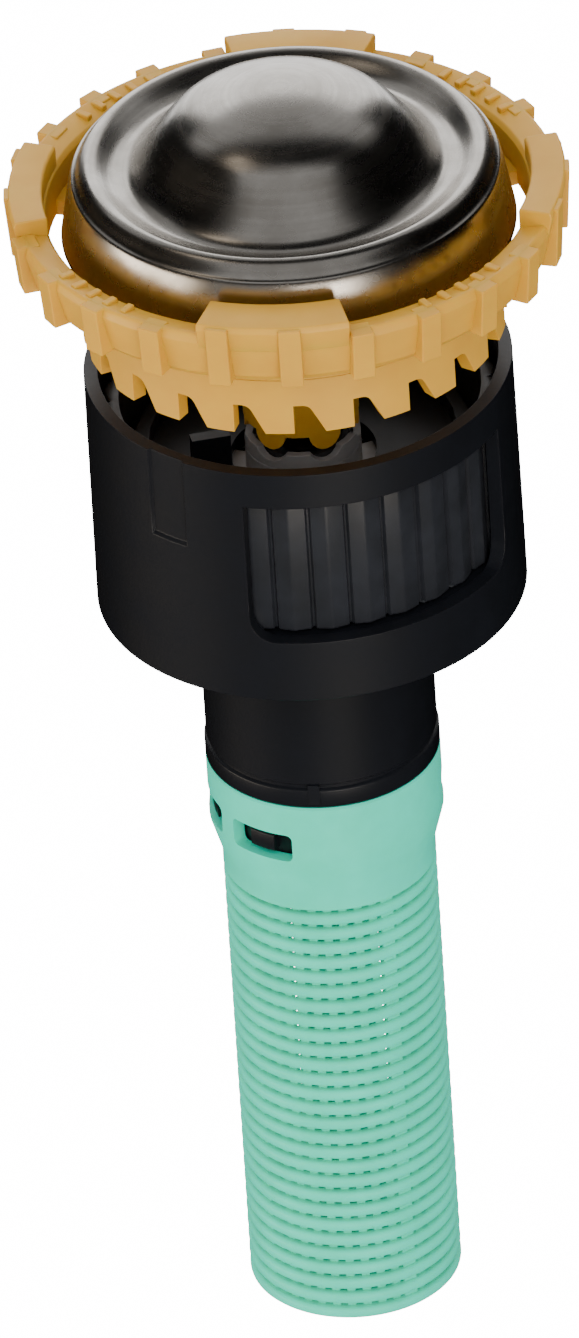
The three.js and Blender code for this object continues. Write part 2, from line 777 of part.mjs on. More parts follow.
/** Deflector with its teeth, flutes, drive lobes, spokes and grip crown: one moulding. */
function deflector() {
  const hubFoot = hubBottom + 1.2 * lobeRadius;
  const coneRadii = [0, 1].map((share) => hubRadius + (coneOuter - hubRadius) * share);
  const core = lathe([
    [bushingRadius + restGap, hubFoot],
    [hubRadius, hubFoot],
    ...coneRadii.map((radius) => [radius, coneHeight(radius)]),
    [coneOuter, teethBottom],
    [deflectorRadius, teethBottom],
    [deflectorRadius, chamberTop],
    [chamberRadius, chamberTop],
    [chamberRadius, chamberFloor],
    [shaftBore, chamberFloor],
    [shaftBore, hubBottom + bushingWall + bushingLength + restGap],
    [bushingRadius + restGap, hubBottom + bushingWall + bushingLength + restGap],
  ], 2 * teethCount);
  const coneBelow = lathe([
    [0, coneBottom - 2],
    [coneOuter + 2, coneBottom - 2],
    [coneOuter + 2, coneTop + fluteDepth],
    ...coneRadii.toReversed().map((radius) => [radius, coneHeight(radius) + fluteDepth]),
    [0, coneBottom + fluteDepth],
  ], 2 * teethCount);
  const wedges = solid(ringOf(teethCount, teethAzimuth, fluteWedge));
  const flutes = geometryOf(wedges.intersect(solid(coneBelow)));
  const notchOutline = [
    [-notchFoot / 2, teethBottom - 0.5],
    [notchFoot / 2 + 0.3, teethBottom - 0.5],
    [notchFoot / 2, teethBottom],
    [notchTop - notchFoot / 2, notchTopZ],
    [-notchFoot / 2, notchTopZ],
  ];
  const notches = ringOf(teethCount, teethAzimuth, (azimuth) => radialPrism(
    notchOutline, coneOuter - 0.4, deflectorRadius + 1, azimuth,
  ));
  const lobes = ringOf(lobeCount, lobeAzimuth, driveLobe);
  return build(core, { joined: [lobes, crown()], cut: [flutes, notches] });
}

/** Ring round the head, with grip ribs, four raised blocks and the spokes that hold it. */
function crown() {
  const step = crownRibProud / 2;
  const profile = lathe([
    [crownBore, crownFootBottom],
    [crownBore + crownWall / 2, crownFootBottom],
    [crownRadius - step, crownBottom],
    [crownRadius, crownBottom + step],
    [crownRadius, crownTop - step],
    [crownRadius - step, crownTop],
    [crownBore, crownTop - crownTopSlope],
  ], crownRibs);
  const ribs = ringOf(crownRibs, crownRibAzimuth, (azimuth) => radialBlock(
    crownRadius - crownWall / 2, crownRadius + crownRibProud, crownRibHalfWidth,
    crownBottom - crownRibDrop, crownTop, azimuth,
  ));
  const blockBottom = crownTop - crownTopSlope - restGap;
  const blocks = together(crownBlockAzimuths.map((azimuth, index) => sector(
    crownBore - crownBlockReach[index], crownRadius + step, blockBottom, crownTop + crownBlockRise,
    azimuth, crownBlockHalfAngle,
  )));
  const spokes = ringOf(spokeCount, spokeAzimuth, (azimuth) => sector(
    deflectorRadius - deflectorWall / 2, crownBore + crownWall / 3, spokeBottom, spokeBottom + spokeHeight,
    azimuth, spokeHalfAngle,
  ));
  return build(profile, { joined: [ribs, blocks, spokes] });
}

/** Pressed steel cap: a dome in a shallow trough, a rounded shoulder and a flared skirt. */
function steelCap() {
  const shoulderRadius = deflectorRadius;
  const crest = capShoulderTop;
  const trough = crest - capTroughDepth;
  const apex = trough + capDomeHeight;
  const crestRadius = shoulderRadius - capShoulderInset;
  const top = new THREE.SplineCurve([
    new THREE.Vector2(0, apex),
    ...[capDomeBrow, capDomeFlank].map(([across, down]) => (
      new THREE.Vector2(capTroughRadius * across, apex - capDomeHeight * down)
    )),
    new THREE.Vector2(capTroughRadius, trough),
    new THREE.Vector2(crestRadius, crest),
    new THREE.Vector2(shoulderRadius - capShoulderInset / 8, crest - capShoulderDrop),
    new THREE.Vector2(capRimRadius - capSkirtFlare, capRimZ + capSkirtLength),
  ]);
  const outside = top.getPoints(10);
  outside.push(new THREE.Vector2(capRimRadius, capRimZ));
  const inside = outside.map((point, index) => {
    const before = outside[Math.max(0, index - 1)];
    const after = outside[Math.min(outside.length - 1, index + 1)];
    const along = after.clone().sub(before).normalize();
    const inset = index === 0 ? new THREE.Vector2(0, -capSheet) : new THREE.Vector2(along.y, -along.x)
      .multiplyScalar(capSheet);
    return point.clone().add(inset);
  });
  const outline = [...inside, ...outside.toReversed()].map((point) => [Math.max(0, point.x), point.y]);
  return lathe(outline);
}

// ---------------------------------------------------------------- filter screen

/** Closed-ended tube with a ring of grooves, and slots in its collar for the lugs. */
function filterScreen() {
  const grooves = Array.from({ length: screenRings }, (_, ring) => {
    const middle = screenBottom + screenRingPitch * (ring + 0.5);
    const half = (screenRingPitch * screenGrooveShare) / 2;
    return [
      [screenTubeRadius, middle - half],
      [screenTubeRadius - screenGrooveDepth, middle],
      [screenTubeRadius, middle + half],
    ].slice(ring === 0 ? 0 : 1);
  }).flat();
  const pocketFloor = screenTop - spigotLength - restGap;
  const profile = lathe([
    [0, screenBottom],
    [screenTubeRadius, screenBottom],
    ...grooves,
    [screenTubeRadius, screenTubeTop],
    [collarRadius, screenTaperTop],
    [collarRadius, screenTop],
    [collarBore, screenTop],
    [collarBore, pocketFloor],
    [screenTubeBore, pocketFloor - screenTaperLength / 2],
    [screenTubeBore, screenBottom + screenFloor],
    [0, screenBottom + screenFloor],
  ], screenTurn);
  const slots = together(slotAzimuths.map((azimuth) => sector(
    collarBore - 1, collarRadius + 1, slotBottom, slotBottom + slotHeight, azimuth, slotHalfAngle,
  )));
  return build(profile, { cut: [slots] });
}

// ---------------------------------------------------------------- finishes and assembly

const finish = (color, roughness, metalness) => (
  new THREE.MeshStandardMaterial({ color, roughness, metalness })
);

const finishes = {
  blackPlastic: finish(0x1b1b1d, 0.45, 0),
  greyPlastic: finish(0x8f9092, 0.5, 0),
  tanPlastic: finish(0xc8a55f, 0.5, 0),
  tealPlastic: finish(0x7fcdb5, 0.5, 0),
  whitePlastic: finish(0xd8d8d4, 0.5, 0),
  rubber: finish(0x202022, 0.8, 0),
  brass: finish(0xb08d4a, 0.35, 1),
  steel: finish(0x8c8a88, 0.25, 1),
};

const pieces = [
  ['body_shell', bodyShell, finishes.blackPlastic],
  ['riser_gasket', riserGasket, finishes.rubber],
  ['inlet_hub', inletHub, finishes.blackPlastic],
  ['nozzle_hub', nozzleHub, finishes.blackPlastic],
  ['nozzle_cover', nozzleCover, finishes.blackPlastic],
  ['cover_seal', coverSeal, finishes.rubber],
  ['return_spring', returnSpring, finishes.steel],
  ['radius_ring', radiusRing, finishes.blackPlastic],
  ['throttle_nut', throttleNut, finishes.whitePlastic],
  ['valve_sleeve', valveSleeve, finishes.greyPlastic],
  ['sleeve_seal', sleeveSeal, finishes.rubber],
  ['shaft', shaft, finishes.steel],
  ['spring_washer', springWasher, finishes.whitePlastic],
  ['retaining_clip', retainingClip, finishes.steel],
  ['shaft_seal', shaftSeal, finishes.rubber],
  ['seal_retainer', sealRetainer, finishes.whitePlastic],
  ['brake_pad', brakePad, finishes.rubber],
  ['friction_disk', frictionDisk, finishes.whitePlastic],
  ['hub_bushing', hubBushing, finishes.brass],
  ['deflector', deflector, finishes.tanPlastic],
  ['steel_cap', steelCap, finishes.steel],
  ['filter_screen', filterScreen, finishes.tealPlastic],
];

const nozzle = new THREE.Group();
for (const [name, make, material] of pieces) {
  const mesh = new THREE.Mesh(make(), material);
  mesh.name = name;
  nozzle.add(mesh);
}

export default nozzle;
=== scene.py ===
"""The looks of a rotary pop-up sprinkler nozzle and its filter screen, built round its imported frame.

The frame is in metres with +Z up. The sizes below are millimetres. The origin is on the axis, in
the plane where the riser's top edge seats. Azimuth 0 is the front, towards -Y, and azimuth grows
towards +X.
"""

import logging
import math
from dataclasses import dataclass
from enum import Enum
from typing import Callable, Iterable, Sequence

import bmesh
import bpy
from mathutils import Matrix, Vector


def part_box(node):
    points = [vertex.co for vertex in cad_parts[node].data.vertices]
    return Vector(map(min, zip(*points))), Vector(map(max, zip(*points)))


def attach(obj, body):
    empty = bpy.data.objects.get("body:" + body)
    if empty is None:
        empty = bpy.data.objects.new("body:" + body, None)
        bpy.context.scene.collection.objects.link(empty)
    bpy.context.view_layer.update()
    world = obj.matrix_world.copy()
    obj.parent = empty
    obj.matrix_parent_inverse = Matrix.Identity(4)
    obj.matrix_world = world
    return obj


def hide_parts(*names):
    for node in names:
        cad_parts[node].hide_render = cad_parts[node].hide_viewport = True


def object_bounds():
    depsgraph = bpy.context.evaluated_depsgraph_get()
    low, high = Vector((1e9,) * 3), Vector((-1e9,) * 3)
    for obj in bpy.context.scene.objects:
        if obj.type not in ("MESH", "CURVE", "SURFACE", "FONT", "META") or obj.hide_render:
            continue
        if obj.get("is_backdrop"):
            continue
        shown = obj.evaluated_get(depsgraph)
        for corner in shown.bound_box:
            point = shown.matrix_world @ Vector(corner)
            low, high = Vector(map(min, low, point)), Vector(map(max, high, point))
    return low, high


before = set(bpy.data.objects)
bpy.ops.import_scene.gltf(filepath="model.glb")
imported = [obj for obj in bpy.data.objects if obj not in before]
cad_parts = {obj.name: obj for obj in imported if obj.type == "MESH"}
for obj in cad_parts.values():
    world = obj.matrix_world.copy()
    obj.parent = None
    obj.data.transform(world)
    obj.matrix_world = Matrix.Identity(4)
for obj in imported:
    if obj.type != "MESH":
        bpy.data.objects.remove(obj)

Point = tuple[float, float]  # radius, height
Corner = tuple[float, float, float]  # radius, height, fillet
Place = tuple[float, float, float]  # azimuth in degrees, radius, height

MM = 0.001
NEAR = 0.01  # how close two heights or azimuths count as the same
MERGE = 1e-4  # how close two points are made one
SHARP = 32.0  # degrees past which an edge isn't shaded smooth
BEVELLED = 35.0  # degrees past which an edge gets its small bevel
TONE_RANGE = (0.3, 0.7)  # the noise below which only the darker tone shows, and above it the lighter
WIDE_TURN = 128  # steps round a full turn on the large pieces
NARROW_TURN = 64
log = logging.getLogger("nozzle")


# ---------------------------------------------------------------- measuring and outlines


@dataclass(frozen=True)
class Extent:
    """How far a CAD node reaches, in millimetres."""

    radius: float
    bottom: float
    top: float


def extent(node: str) -> Extent:
    """Measures a CAD node.

    Args:
        node: The node's name.

    Returns:
        Its largest radius and its two heights.
    """
    low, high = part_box(node)
    return Extent(radius=high.x / MM, bottom=low.z / MM, top=high.z / MM)


def at(azimuth: float, radius: float, height: float) -> Vector:
    """The point at an azimuth in degrees, a radius and a height."""
    angle = math.radians(azimuth)
    return Vector((radius * math.sin(angle), -radius * math.cos(angle), height))


def between(start: float, end: float, count: int) -> list[float]:
    """Evenly spaced values from start to end, both included."""
    return [start + (end - start) * step / count for step in range(count + 1)]


def rounded(corners: Sequence[Corner], steps: int = 3) -> list[Point]:
    """Rounds the corners of a closed outline.

    Args:
        corners: The corners in order, each with its fillet radius.
        steps: Steps along each arc.

    Returns:
        The outline's points.
    """
    points: list[Point] = []
    for index, (radius, height, fillet) in enumerate(corners):
        here = Vector((radius, height))
        if fillet <= 0:
            points.append((radius, height))
            continue
        back = (Vector(corners[index - 1][:2]) - here).normalized()
        ahead = (Vector(corners[(index + 1) % len(corners)][:2]) - here).normalized()
        half = back.angle(ahead) / 2
        centre = here + (back + ahead).normalized() * fillet / math.sin(half)
        first = here + back * fillet / math.tan(half) - centre
        last = here + ahead * fillet / math.tan(half) - centre
        sweep = first.angle(last)
        for share in between(0, 1, steps):
            arm = first * math.sin((1 - share) * sweep) + last * math.sin(share * sweep)
            points.append(tuple(centre + arm / math.sin(sweep)))
    return points


def flowing(points: Sequence[Point], steps: int) -> list[Point]:
    """A smooth curve through points, level where it leaves the axis.

    Args:
        points: The points that the curve passes through, from the axis outwards.
        steps: Steps from one point to the next.

    Returns:
        The curve's points.
    """
    knots = [Vector(point) for point in points]
    mirrored = Vector((-knots[1].x, knots[1].y))
    knots = [mirrored, *knots, knots[-1]]
    curve: list[Point] = []
    for a, b, c, d in zip(knots, knots[1:], knots[2:], knots[3:]):
        for t in between(0, 1, steps)[:-1]:
            bend = (2 * a - 5 * b + 4 * c - d) * t**2 + (3 * b - 3 * c + d - a) * t**3
            curve.append(tuple((2 * b + (c - a) * t + bend) / 2))
    return [*curve, tuple(knots[-1])]


# ---------------------------------------------------------------- finishes


class Slot(Enum):
    """The record's material slots."""

    BLACK_PLASTIC = "black_plastic"
    GREY_PLASTIC = "grey_plastic"
    TAN_PLASTIC = "tan_plastic"
    TEAL_PLASTIC = "teal_plastic"
    WHITE_PLASTIC = "white_plastic"
    BLACK_RUBBER = "black_rubber"
    BEARING_BRASS = "bearing_brass"
    CAP_STEEL = "cap_steel"
    SHAFT_STEEL = "shaft_steel"


def linear(colour: str, alpha: float = 1.0) -> tuple[float, float, float, float]:
    """Turns an sRGB hex colour into a linear one.

    Args:
        colour: Six hex digits after a hash sign.
        alpha: The opacity to go with it.

    Returns:
        Red, green, blue and alpha.
    """
    shares = [int(colour[place : place + 2], 16) / 255 for place in (1, 3, 5)]
    lit = [s / 12.92 if s <= 0.04045 else ((s + 0.055) / 1.055) ** 2.4 for s in shares]
    return (*lit, alpha)


def add_node(
    tree: bpy.types.NodeTree,
    kind: str,
    settings: dict[str, object] | None = None,
    links: dict[str, bpy.types.NodeSocket] | None = None,
) -> bpy.types.Node:
    """Adds a node with its settings and links.

    Args:
        tree: The node tree.
        kind: The node's type.
        settings: Values by socket name or, where no socket has the name, by property name.
        links: Sources by socket name.

    Returns:
        The node.
    """
    node = tree.nodes.new(kind)
    for name, value in (settings or {}).items():
        if name in node.inputs:
            node.inputs[name].default_value = value
        else:
            setattr(node, name, value)
    for name, source in (links or {}).items():
        tree.links.new(source, node.inputs[name])
    return node


@dataclass(frozen=True)
class Moulded:
    """A moulded or cast surface: two close tones that drift into each other over a fine grain."""

    name: str
    slot: Slot
    colour: str
    shade: str  # the darker of the two tones
    roughness: float
    ior: float
    drift: float  # size of the tone's patches
    grain: float  # size of the mould's grain
    relief: float  # height of the grain
    roughness_spread: float = 0.08
    glow: float = 0.0  # share of light that travels under the surface
    glow_depth: float = 0.5
    metallic: float = 0.0

    def pattern(self, tree: bpy.types.NodeTree) -> bpy.types.NodeSocket:
        """Adds the nodes that mix the two tones and returns how much of the lighter one shows."""
        place = add_node(tree, "ShaderNodeTexCoord")
        patches = add_node(
            tree,
            "ShaderNodeTexNoise",
            {"Scale": 1 / (self.drift * MM), "Detail": 3.0, "Roughness": 0.55},
            {"Vector": place.outputs["Object"]},
        )
        return patches.outputs["Fac"]

    def build(self) -> bpy.types.Material:
        """Makes the material."""
        material = bpy.data.materials.new(self.name)
        material.use_nodes = True
        tree = material.node_tree
        tree.nodes.clear()
        share = self.pattern(tree)
        tones = add_node(tree, "ShaderNodeValToRGB", links={"Fac": share})
        low, high = tones.color_ramp.elements
        low.position, high.position = TONE_RANGE
        low.color, high.color = linear(self.shade), linear(self.colour)
        gloss = add_node(
            tree,
            "ShaderNodeMapRange",
            {
                "From Min": TONE_RANGE[0],
                "From Max": TONE_RANGE[1],
                "To Min": self.roughness + self.roughness_spread / 2,
                "To Max": self.roughness - self.roughness_spread / 2,
            },
            {"Value": share},
        )
        place = add_node(tree, "ShaderNodeTexCoord")
        grain = add_node(
            tree,
            "ShaderNodeTexNoise",
            {"Scale": 1 / (self.grain * MM), "Detail": 2.0},
            {"Vector": place.outputs["Object"]},
        )
        bump = add_node(
            tree,
            "ShaderNodeBump",
            {"Strength": 0.6, "Distance": self.relief * MM},
            {"Height": grain.outputs["Fac"]},
        )
        shader = add_node(
            tree,
            "ShaderNodeBsdfPrincipled",
            {
                "IOR": self.ior,
                "Metallic": self.metallic,
                "Subsurface Weight": self.glow,
                "Subsurface Scale": self.glow_depth * MM,
            },
            {
                "Base Color": tones.outputs["Color"],
                "Roughness": gloss.outputs["Result"],
                "Normal": bump.outputs["Normal"],
            },
        )
        add_node(tree, "ShaderNodeOutputMaterial", links={"Surface": shader.outputs["BSDF"]})
        return material


@dataclass(frozen=True)
class Turned(Moulded):
    """A surface whose marks run round the axis, as spinning or polishing leaves them."""

    lay: float = 0.3  # spacing of the marks
    lay_share: float = 0.3  # how much of the mix the marks take

    def pattern(self, tree: bpy.types.NodeTree) -> bpy.types.NodeSocket:
        """Adds cloudy patches crossed by fine rings and returns their mix."""
        place = add_node(tree, "ShaderNodeTexCoord")
        flat = add_node(
            tree,
            "ShaderNodeVectorMath",
            {"operation": "MULTIPLY"},
            {0: place.outputs["Object"]},
        )
        flat.inputs[1].default_value = (1, 1, 0)
        reach = add_node(
            tree, "ShaderNodeVectorMath", {"operation": "LENGTH"}, {0: flat.outputs["Vector"]}
        )
        rings = add_node(
            tree,
            "ShaderNodeTexNoise",
            {"noise_dimensions": "1D", "Scale": 1 / (self.lay * MM), "Detail": 2.0},
            {"W": reach.outputs["Value"]},
        )
        patches = add_node(
            tree,
            "ShaderNodeTexNoise",
            {"Scale": 1 / (self.drift * MM), "Detail": 4.0, "Roughness": 0.6},
            {"Vector": place.outputs["Object"]},
        )
        mix = add_node(tree, "ShaderNodeMix", {"Factor": self.lay_share})
        tree.links.new(patches.outputs["Fac"], mix.inputs["A"])
        tree.links.new(rings.outputs["Fac"], mix.inputs["B"])
        return mix.outputs["Result"]


# Acetal from a lightly worn mould: nearly black, with a dull sheen along its edges.
BLACK_ACETAL = Moulded(
    "black_moulded_acetal", Slot.BLACK_PLASTIC, "#14161b", "#101217", 0.38, 1.4, 3.0, 0.25, 0.006
)
# The same acetal where thumbs turn it: a little smoother, so that its ribs catch more light, and given a
# lighter base colour than the shell, which is painted light on the ribs.
RIBBED_ACETAL_PAINTED_LIT = Moulded(
    "black_ribbed_acetal_painted_lit", Slot.BLACK_PLASTIC, "#26282d", "#1e2024", 0.34, 1.44, 2.0, 0.25, 0.004
)
# Grey acetal of the arc valve's sleeve: pale and even.
GREY_ACETAL = Moulded(
    "grey_moulded_acetal", Slot.GREY_PLASTIC, "#8e8e90", "#828284", 0.45, 1.48, 2.0, 0.25, 0.005
)
# Tan acetal: warm and opaque with light scattered just under its skin, which softens its edges.
TAN_ACETAL = Moulded(
    "tan_moulded_acetal",
    Slot.TAN_PLASTIC,
    "#d49f2c",
    "#ca9426",
    0.45,
    1.48,
    4.0,
    0.3,
    0.008,
    glow=0.15,
)
# Polypropylene of the filter screen: cool, milky and slightly waxy.
TEAL_POLYPROPYLENE = Moulded(
    "teal_moulded_polypropylene",
    Slot.TEAL_PLASTIC,
    "#22e3c2",
    "#1ad7b4",
    0.5,
    1.49,
    3.0,
    0.3,
    0.006,
    glow=0.2,
)
# White acetal of the hidden discs and the nut: clean and even.
WHITE_ACETAL = Moulded(
    "white_moulded_acetal", Slot.WHITE_PLASTIC, "#dcdcd8", "#d2d2cc", 0.45, 1.48, 3.0, 0.3, 0.005
)
# Moulded nitrile rubber: matt, and dusty where it is touched.
NITRILE_RUBBER = Moulded(
    "black_nitrile_rubber", Slot.BLACK_RUBBER, "#29292a", "#202021", 0.8, 1.52, 1.0, 0.1, 0.01
)
# Sintered bronze bearing: fine pores that break up its shine.
SINTERED_BRONZE = Moulded(
    "sintered_bronze",
    Slot.BEARING_BRASS,
    "#b89454",
    "#9c7a40",
    0.4,
    1.5,
    0.6,
    0.08,
    0.01,
    metallic=1.0,
)
# Pressed stainless steel sheet, tumbled bright: cloudy patches over faint rings from the press.
PRESSED_STEEL = Turned(
    "pressed_stainless_steel",
    Slot.CAP_STEEL,
    "#c2beb8",
    "#a8a39c",
    0.27,
    1.5,
    2.5,
    0.15,
    0.002,
    roughness_spread=0.1,
    metallic=1.0,
    lay=0.4,
)
# Drawn and ground steel of the shaft, the spring and the clip: bright with fine grinding marks.
GROUND_STEEL = Turned(
    "ground_stainless_steel",
    Slot.SHAFT_STEEL,
    "#b4b2ae",
    "#a3a19d",
    0.24,
    1.5,
    2.0,
    0.1,
    0.002,
    metallic=1.0,
    lay=0.15,
)

CARRIED_NODES: dict[Moulded, tuple[str, ...]] = {
    BLACK_ACETAL: ("inlet_hub", "nozzle_hub", "nozzle_cover"),
    WHITE_ACETAL: ("throttle_nut", "spring_washer", "seal_retainer", "friction_disk"),
    NITRILE_RUBBER: ("riser_gasket", "cover_seal", "sleeve_seal", "shaft_seal", "brake_pad"),
    SINTERED_BRONZE: ("hub_bushing",),
    GROUND_STEEL: ("return_spring", "shaft", "retaining_clip"),
}


class Workshop:
    """Makes each material once, and turns shapes into finished pieces."""

    def __init__(self) -> None:
        """Starts with no materials."""
        self.materials: dict[Moulded, bpy.types.Material] = {}

    def material(self, finish: Moulded) -> bpy.types.Material:
        """The material of a finish, made the first time that it is asked for."""
        if finish not in self.materials:
            self.materials[finish] = finish.build()
        return self.materials[finish]

    def dress_carried_nodes(self) -> None:
        """Gives each CAD node that is shown as it is the finish of its real material."""
        for finish, nodes in CARRIED_NODES.items():
            for name in nodes:
                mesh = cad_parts[name].data
                mesh.materials.clear()
                mesh.materials.append(self.material(finish))
                log.info("%s: %s", name, finish.name)

    def deliver(
        self,
        shape: "Shape",
        name: str,
        body: str,
        finish: Moulded,
        stands_for: str = "",
        edge: float = 0.0,
        wall: float = 0.0,
    ) -> bpy.types.Object:
        """Turns a shape into a piece of the object.

        Args:
            shape: The shape, in millimetres.
            name: The piece's name.
            body: The CAD body that it moves with.
            finish: Its finish.
            stands_for: The CAD node that it replaces, if it replaces one.
            edge: The width of the small bevel along its sharp edges, or 0 for none.
            wall: The thickness that an open sheet gets inwards, or 0 for a closed shape.

        Returns:
            The piece.
        """
        mesh = bpy.data.meshes.new(name)
        shape.close(mesh)
        mesh.materials.append(self.material(finish))
        piece = bpy.data.objects.new(name, mesh)
        bpy.context.scene.collection.objects.link(piece)
        if wall:
            solidify = piece.modifiers.new("wall", "SOLIDIFY")
            solidify.thickness, solidify.offset = wall * MM, -1
        if edge:
            bevel = piece.modifiers.new("edges", "BEVEL")
            bevel.width, bevel.segments = edge * MM, 2
            bevel.limit_method, bevel.angle_limit = "ANGLE", math.radians(BEVELLED)
            bevel.harden_normals = True
        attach(piece, body)
        if stands_for:
            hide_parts(stands_for)
        log.info("%s: %d faces, %s", name, len(mesh.polygons), finish.name)
        return piece


# ---------------------------------------------------------------- shaping


class Shape:
    """A mesh being made, in millimetres."""

    def __init__(self) -> None:
        """Starts empty."""
        self.mesh = bmesh.new()

    def spin(self, outline: Sequence[Point], steps: int, closed: bool = True) -> list[bmesh.types.BMVert]:
        """Turns an outline all the way round the axis.

        Args:
            outline: Points of radius and height.
            steps: Steps round the turn.
            closed: Whether the last point joins the first.

        Returns:
            The new vertices.
        """
        before = set(self.mesh.verts)
        start = self._line(outline, closed)
        bmesh.ops.spin(
            self.mesh,
            geom=start,
            cent=(0, 0, 0),
            axis=(0, 0, 1),
            angle=2 * math.pi,
            steps=steps,
            use_merge=True,
        )
        fresh = [vert for vert in self.mesh.verts if vert not in before]
        bmesh.ops.remove_doubles(self.mesh, verts=fresh, dist=MERGE)
        return [vert for vert in self.mesh.verts if vert not in before]

    def sweep(
        self,
        outline: Sequence[Point],
        azimuth: float,
        half_angle: float,
        steps: int,
        climb: float = 0.0,
    ) -> list[bmesh.types.BMVert]:
        """Turns a closed outline part of the way round, or along a helix, and closes its ends.

        Args:
            outline: Points of radius and height.
            azimuth: The middle of the sweep, in degrees.
            half_angle: Degrees either side of the middle.
            steps: Steps along the sweep.
            climb: How far the outline rises over the whole sweep.

        Returns:
            The new vertices.
        """
        before = set(self.mesh.verts)
        start = self._line(outline, closed=True)
        bmesh.ops.spin(
            self.mesh,
            geom=start,
            cent=(0, 0, 0),
            axis=(0, 0, 1),
            dvec=(0, 0, climb / steps),
            angle=math.radians(2 * half_angle),
            steps=steps,
        )
        fresh = [vert for vert in self.mesh.verts if vert not in before]
        rims = [edge for edge in self.mesh.edges if edge.is_boundary and edge.verts[0] not in before]
        bmesh.ops.holes_fill(self.mesh, edges=rims, sides=0)
        turn = Matrix.Rotation(math.radians(azimuth - half_angle), 3, "Z")
        bmesh.ops.rotate(self.mesh, verts=fresh, cent=(0, 0, 0), matrix=turn)
        return fresh

    def sheet(
        self,
        columns: int,
        rows: int,
        place: Callable[[int, int], Place],
        gone: Callable[[int, int], bool] = lambda column, row: False,
    ) -> list[bmesh.types.BMVert]:
        """Wraps a grid round the axis, with some of its cells left out.

        Args:
            columns: Cells round the axis.
            rows: Cells from bottom to top.
            place: Where the grid point of a column and a row goes.
            gone: Whether the cell of a column and a row is left out.

        Returns:
            The new vertices.
        """
        before = set(self.mesh.verts)
        made = bmesh.ops.create_grid(self.mesh, x_segments=columns, y_segments=rows, size=1)["verts"]

        def cell(point: Vector) -> tuple[float, float]:
            """A point of the flat grid, counted in columns and rows."""
            return (point.x + 1) / 2 * columns, (point.y + 1) / 2 * rows

        faces = {face for vert in made for face in vert.link_faces}
        left_out = [
            face
            for face in faces
            if gone(*(math.floor(count) for count in cell(face.calc_center_median())))
        ]
        for vert in made:
            vert.co = at(*place(*(round(count) for count in cell(vert.co))))
        bmesh.ops.delete(self.mesh, geom=left_out, context="FACES")
        fresh = [vert for vert in self.mesh.verts if vert not in before]
        bmesh.ops.remove_doubles(self.mesh, verts=fresh, dist=MERGE)
        return [vert for vert in self.mesh.verts if vert not in before]

    def thicken(self, verts: Iterable[bmesh.types.BMVert], inner: Callable[[float], float]) -> None:
        """Gives a wrapped sheet its wall.

        Args:
            verts: The sheet's vertices.
            inner: The wall's inside radius at a height.
        """
        faces = list({face for vert in verts for face in vert.link_faces})
        made = bmesh.ops.extrude_face_region(self.mesh, geom=faces, use_keep_orig=True)["geom"]
        for vert in made:
            if isinstance(vert, bmesh.types.BMVert):
                scale = inner(vert.co.z) / math.hypot(vert.co.x, vert.co.y)
                vert.co.x, vert.co.y = vert.co.x * scale, vert.co.y * scale

    def bar(
        self,
        across: float,
        inner: float,
        outer: float,
        bottom: float,
        top: float,
        azimuth: float,
        lean: float = 0.0,
    ) -> list[bmesh.types.BMVert]:
        """Adds a straight block that points outwards.

        Args:
            across: Its width.
            inner: The radius of its inner end.
            outer: The radius of its outer end.
            bottom: Its lower height.
            top: Its upper height.
            azimuth: Its azimuth in degrees.
            lean: How much further in the outer face is at the bottom than at the top.

        Returns:
            Its vertices.
        """
        verts = bmesh.ops.create_cube(self.mesh, size=1)["verts"]
        for vert in verts:
            out, up = 0.5 - vert.co.y, vert.co.z + 0.5
            reach = inner + (outer - inner - lean * (1 - up)) * out
            vert.co = Vector((vert.co.x * across, -reach, bottom + (top - bottom) * up))
        turn = Matrix.Rotation(math.radians(azimuth), 3, "Z")
        bmesh.ops.rotate(self.mesh, verts=verts, cent=(0, 0, 0), matrix=turn)
        return verts

    def close(self, mesh: bpy.types.Mesh) -> None:
        """Finishes the shape into a mesh.

        Args:
            mesh: The mesh to write, in metres.
        """
        bmesh.ops.recalc_face_normals(self.mesh, faces=self.mesh.faces)
        for face in self.mesh.faces:
            face.smooth = True
        for edge in self.mesh.edges:
            edge.smooth = edge.calc_face_angle(0) < math.radians(SHARP)
        bmesh.ops.scale(self.mesh, vec=(MM, MM, MM), verts=self.mesh.verts)
        self.mesh.to_mesh(mesh)
        self.mesh.free()

    def _line(self, outline: Sequence[Point], closed: bool) -> list[bmesh.types.BMVert | bmesh.types.BMEdge]:
        """Draws an outline at the front and returns its vertices and edges."""
        verts = [self.mesh.verts.new((0, -radius, height)) for radius, height in outline]
        pairs = [*zip(verts, verts[1:]), *([(verts[-1], verts[0])] if closed else [])]
        return [*verts, *(self.mesh.edges.new(pair) for pair in pairs)]


# ---------------------------------------------------------------- head


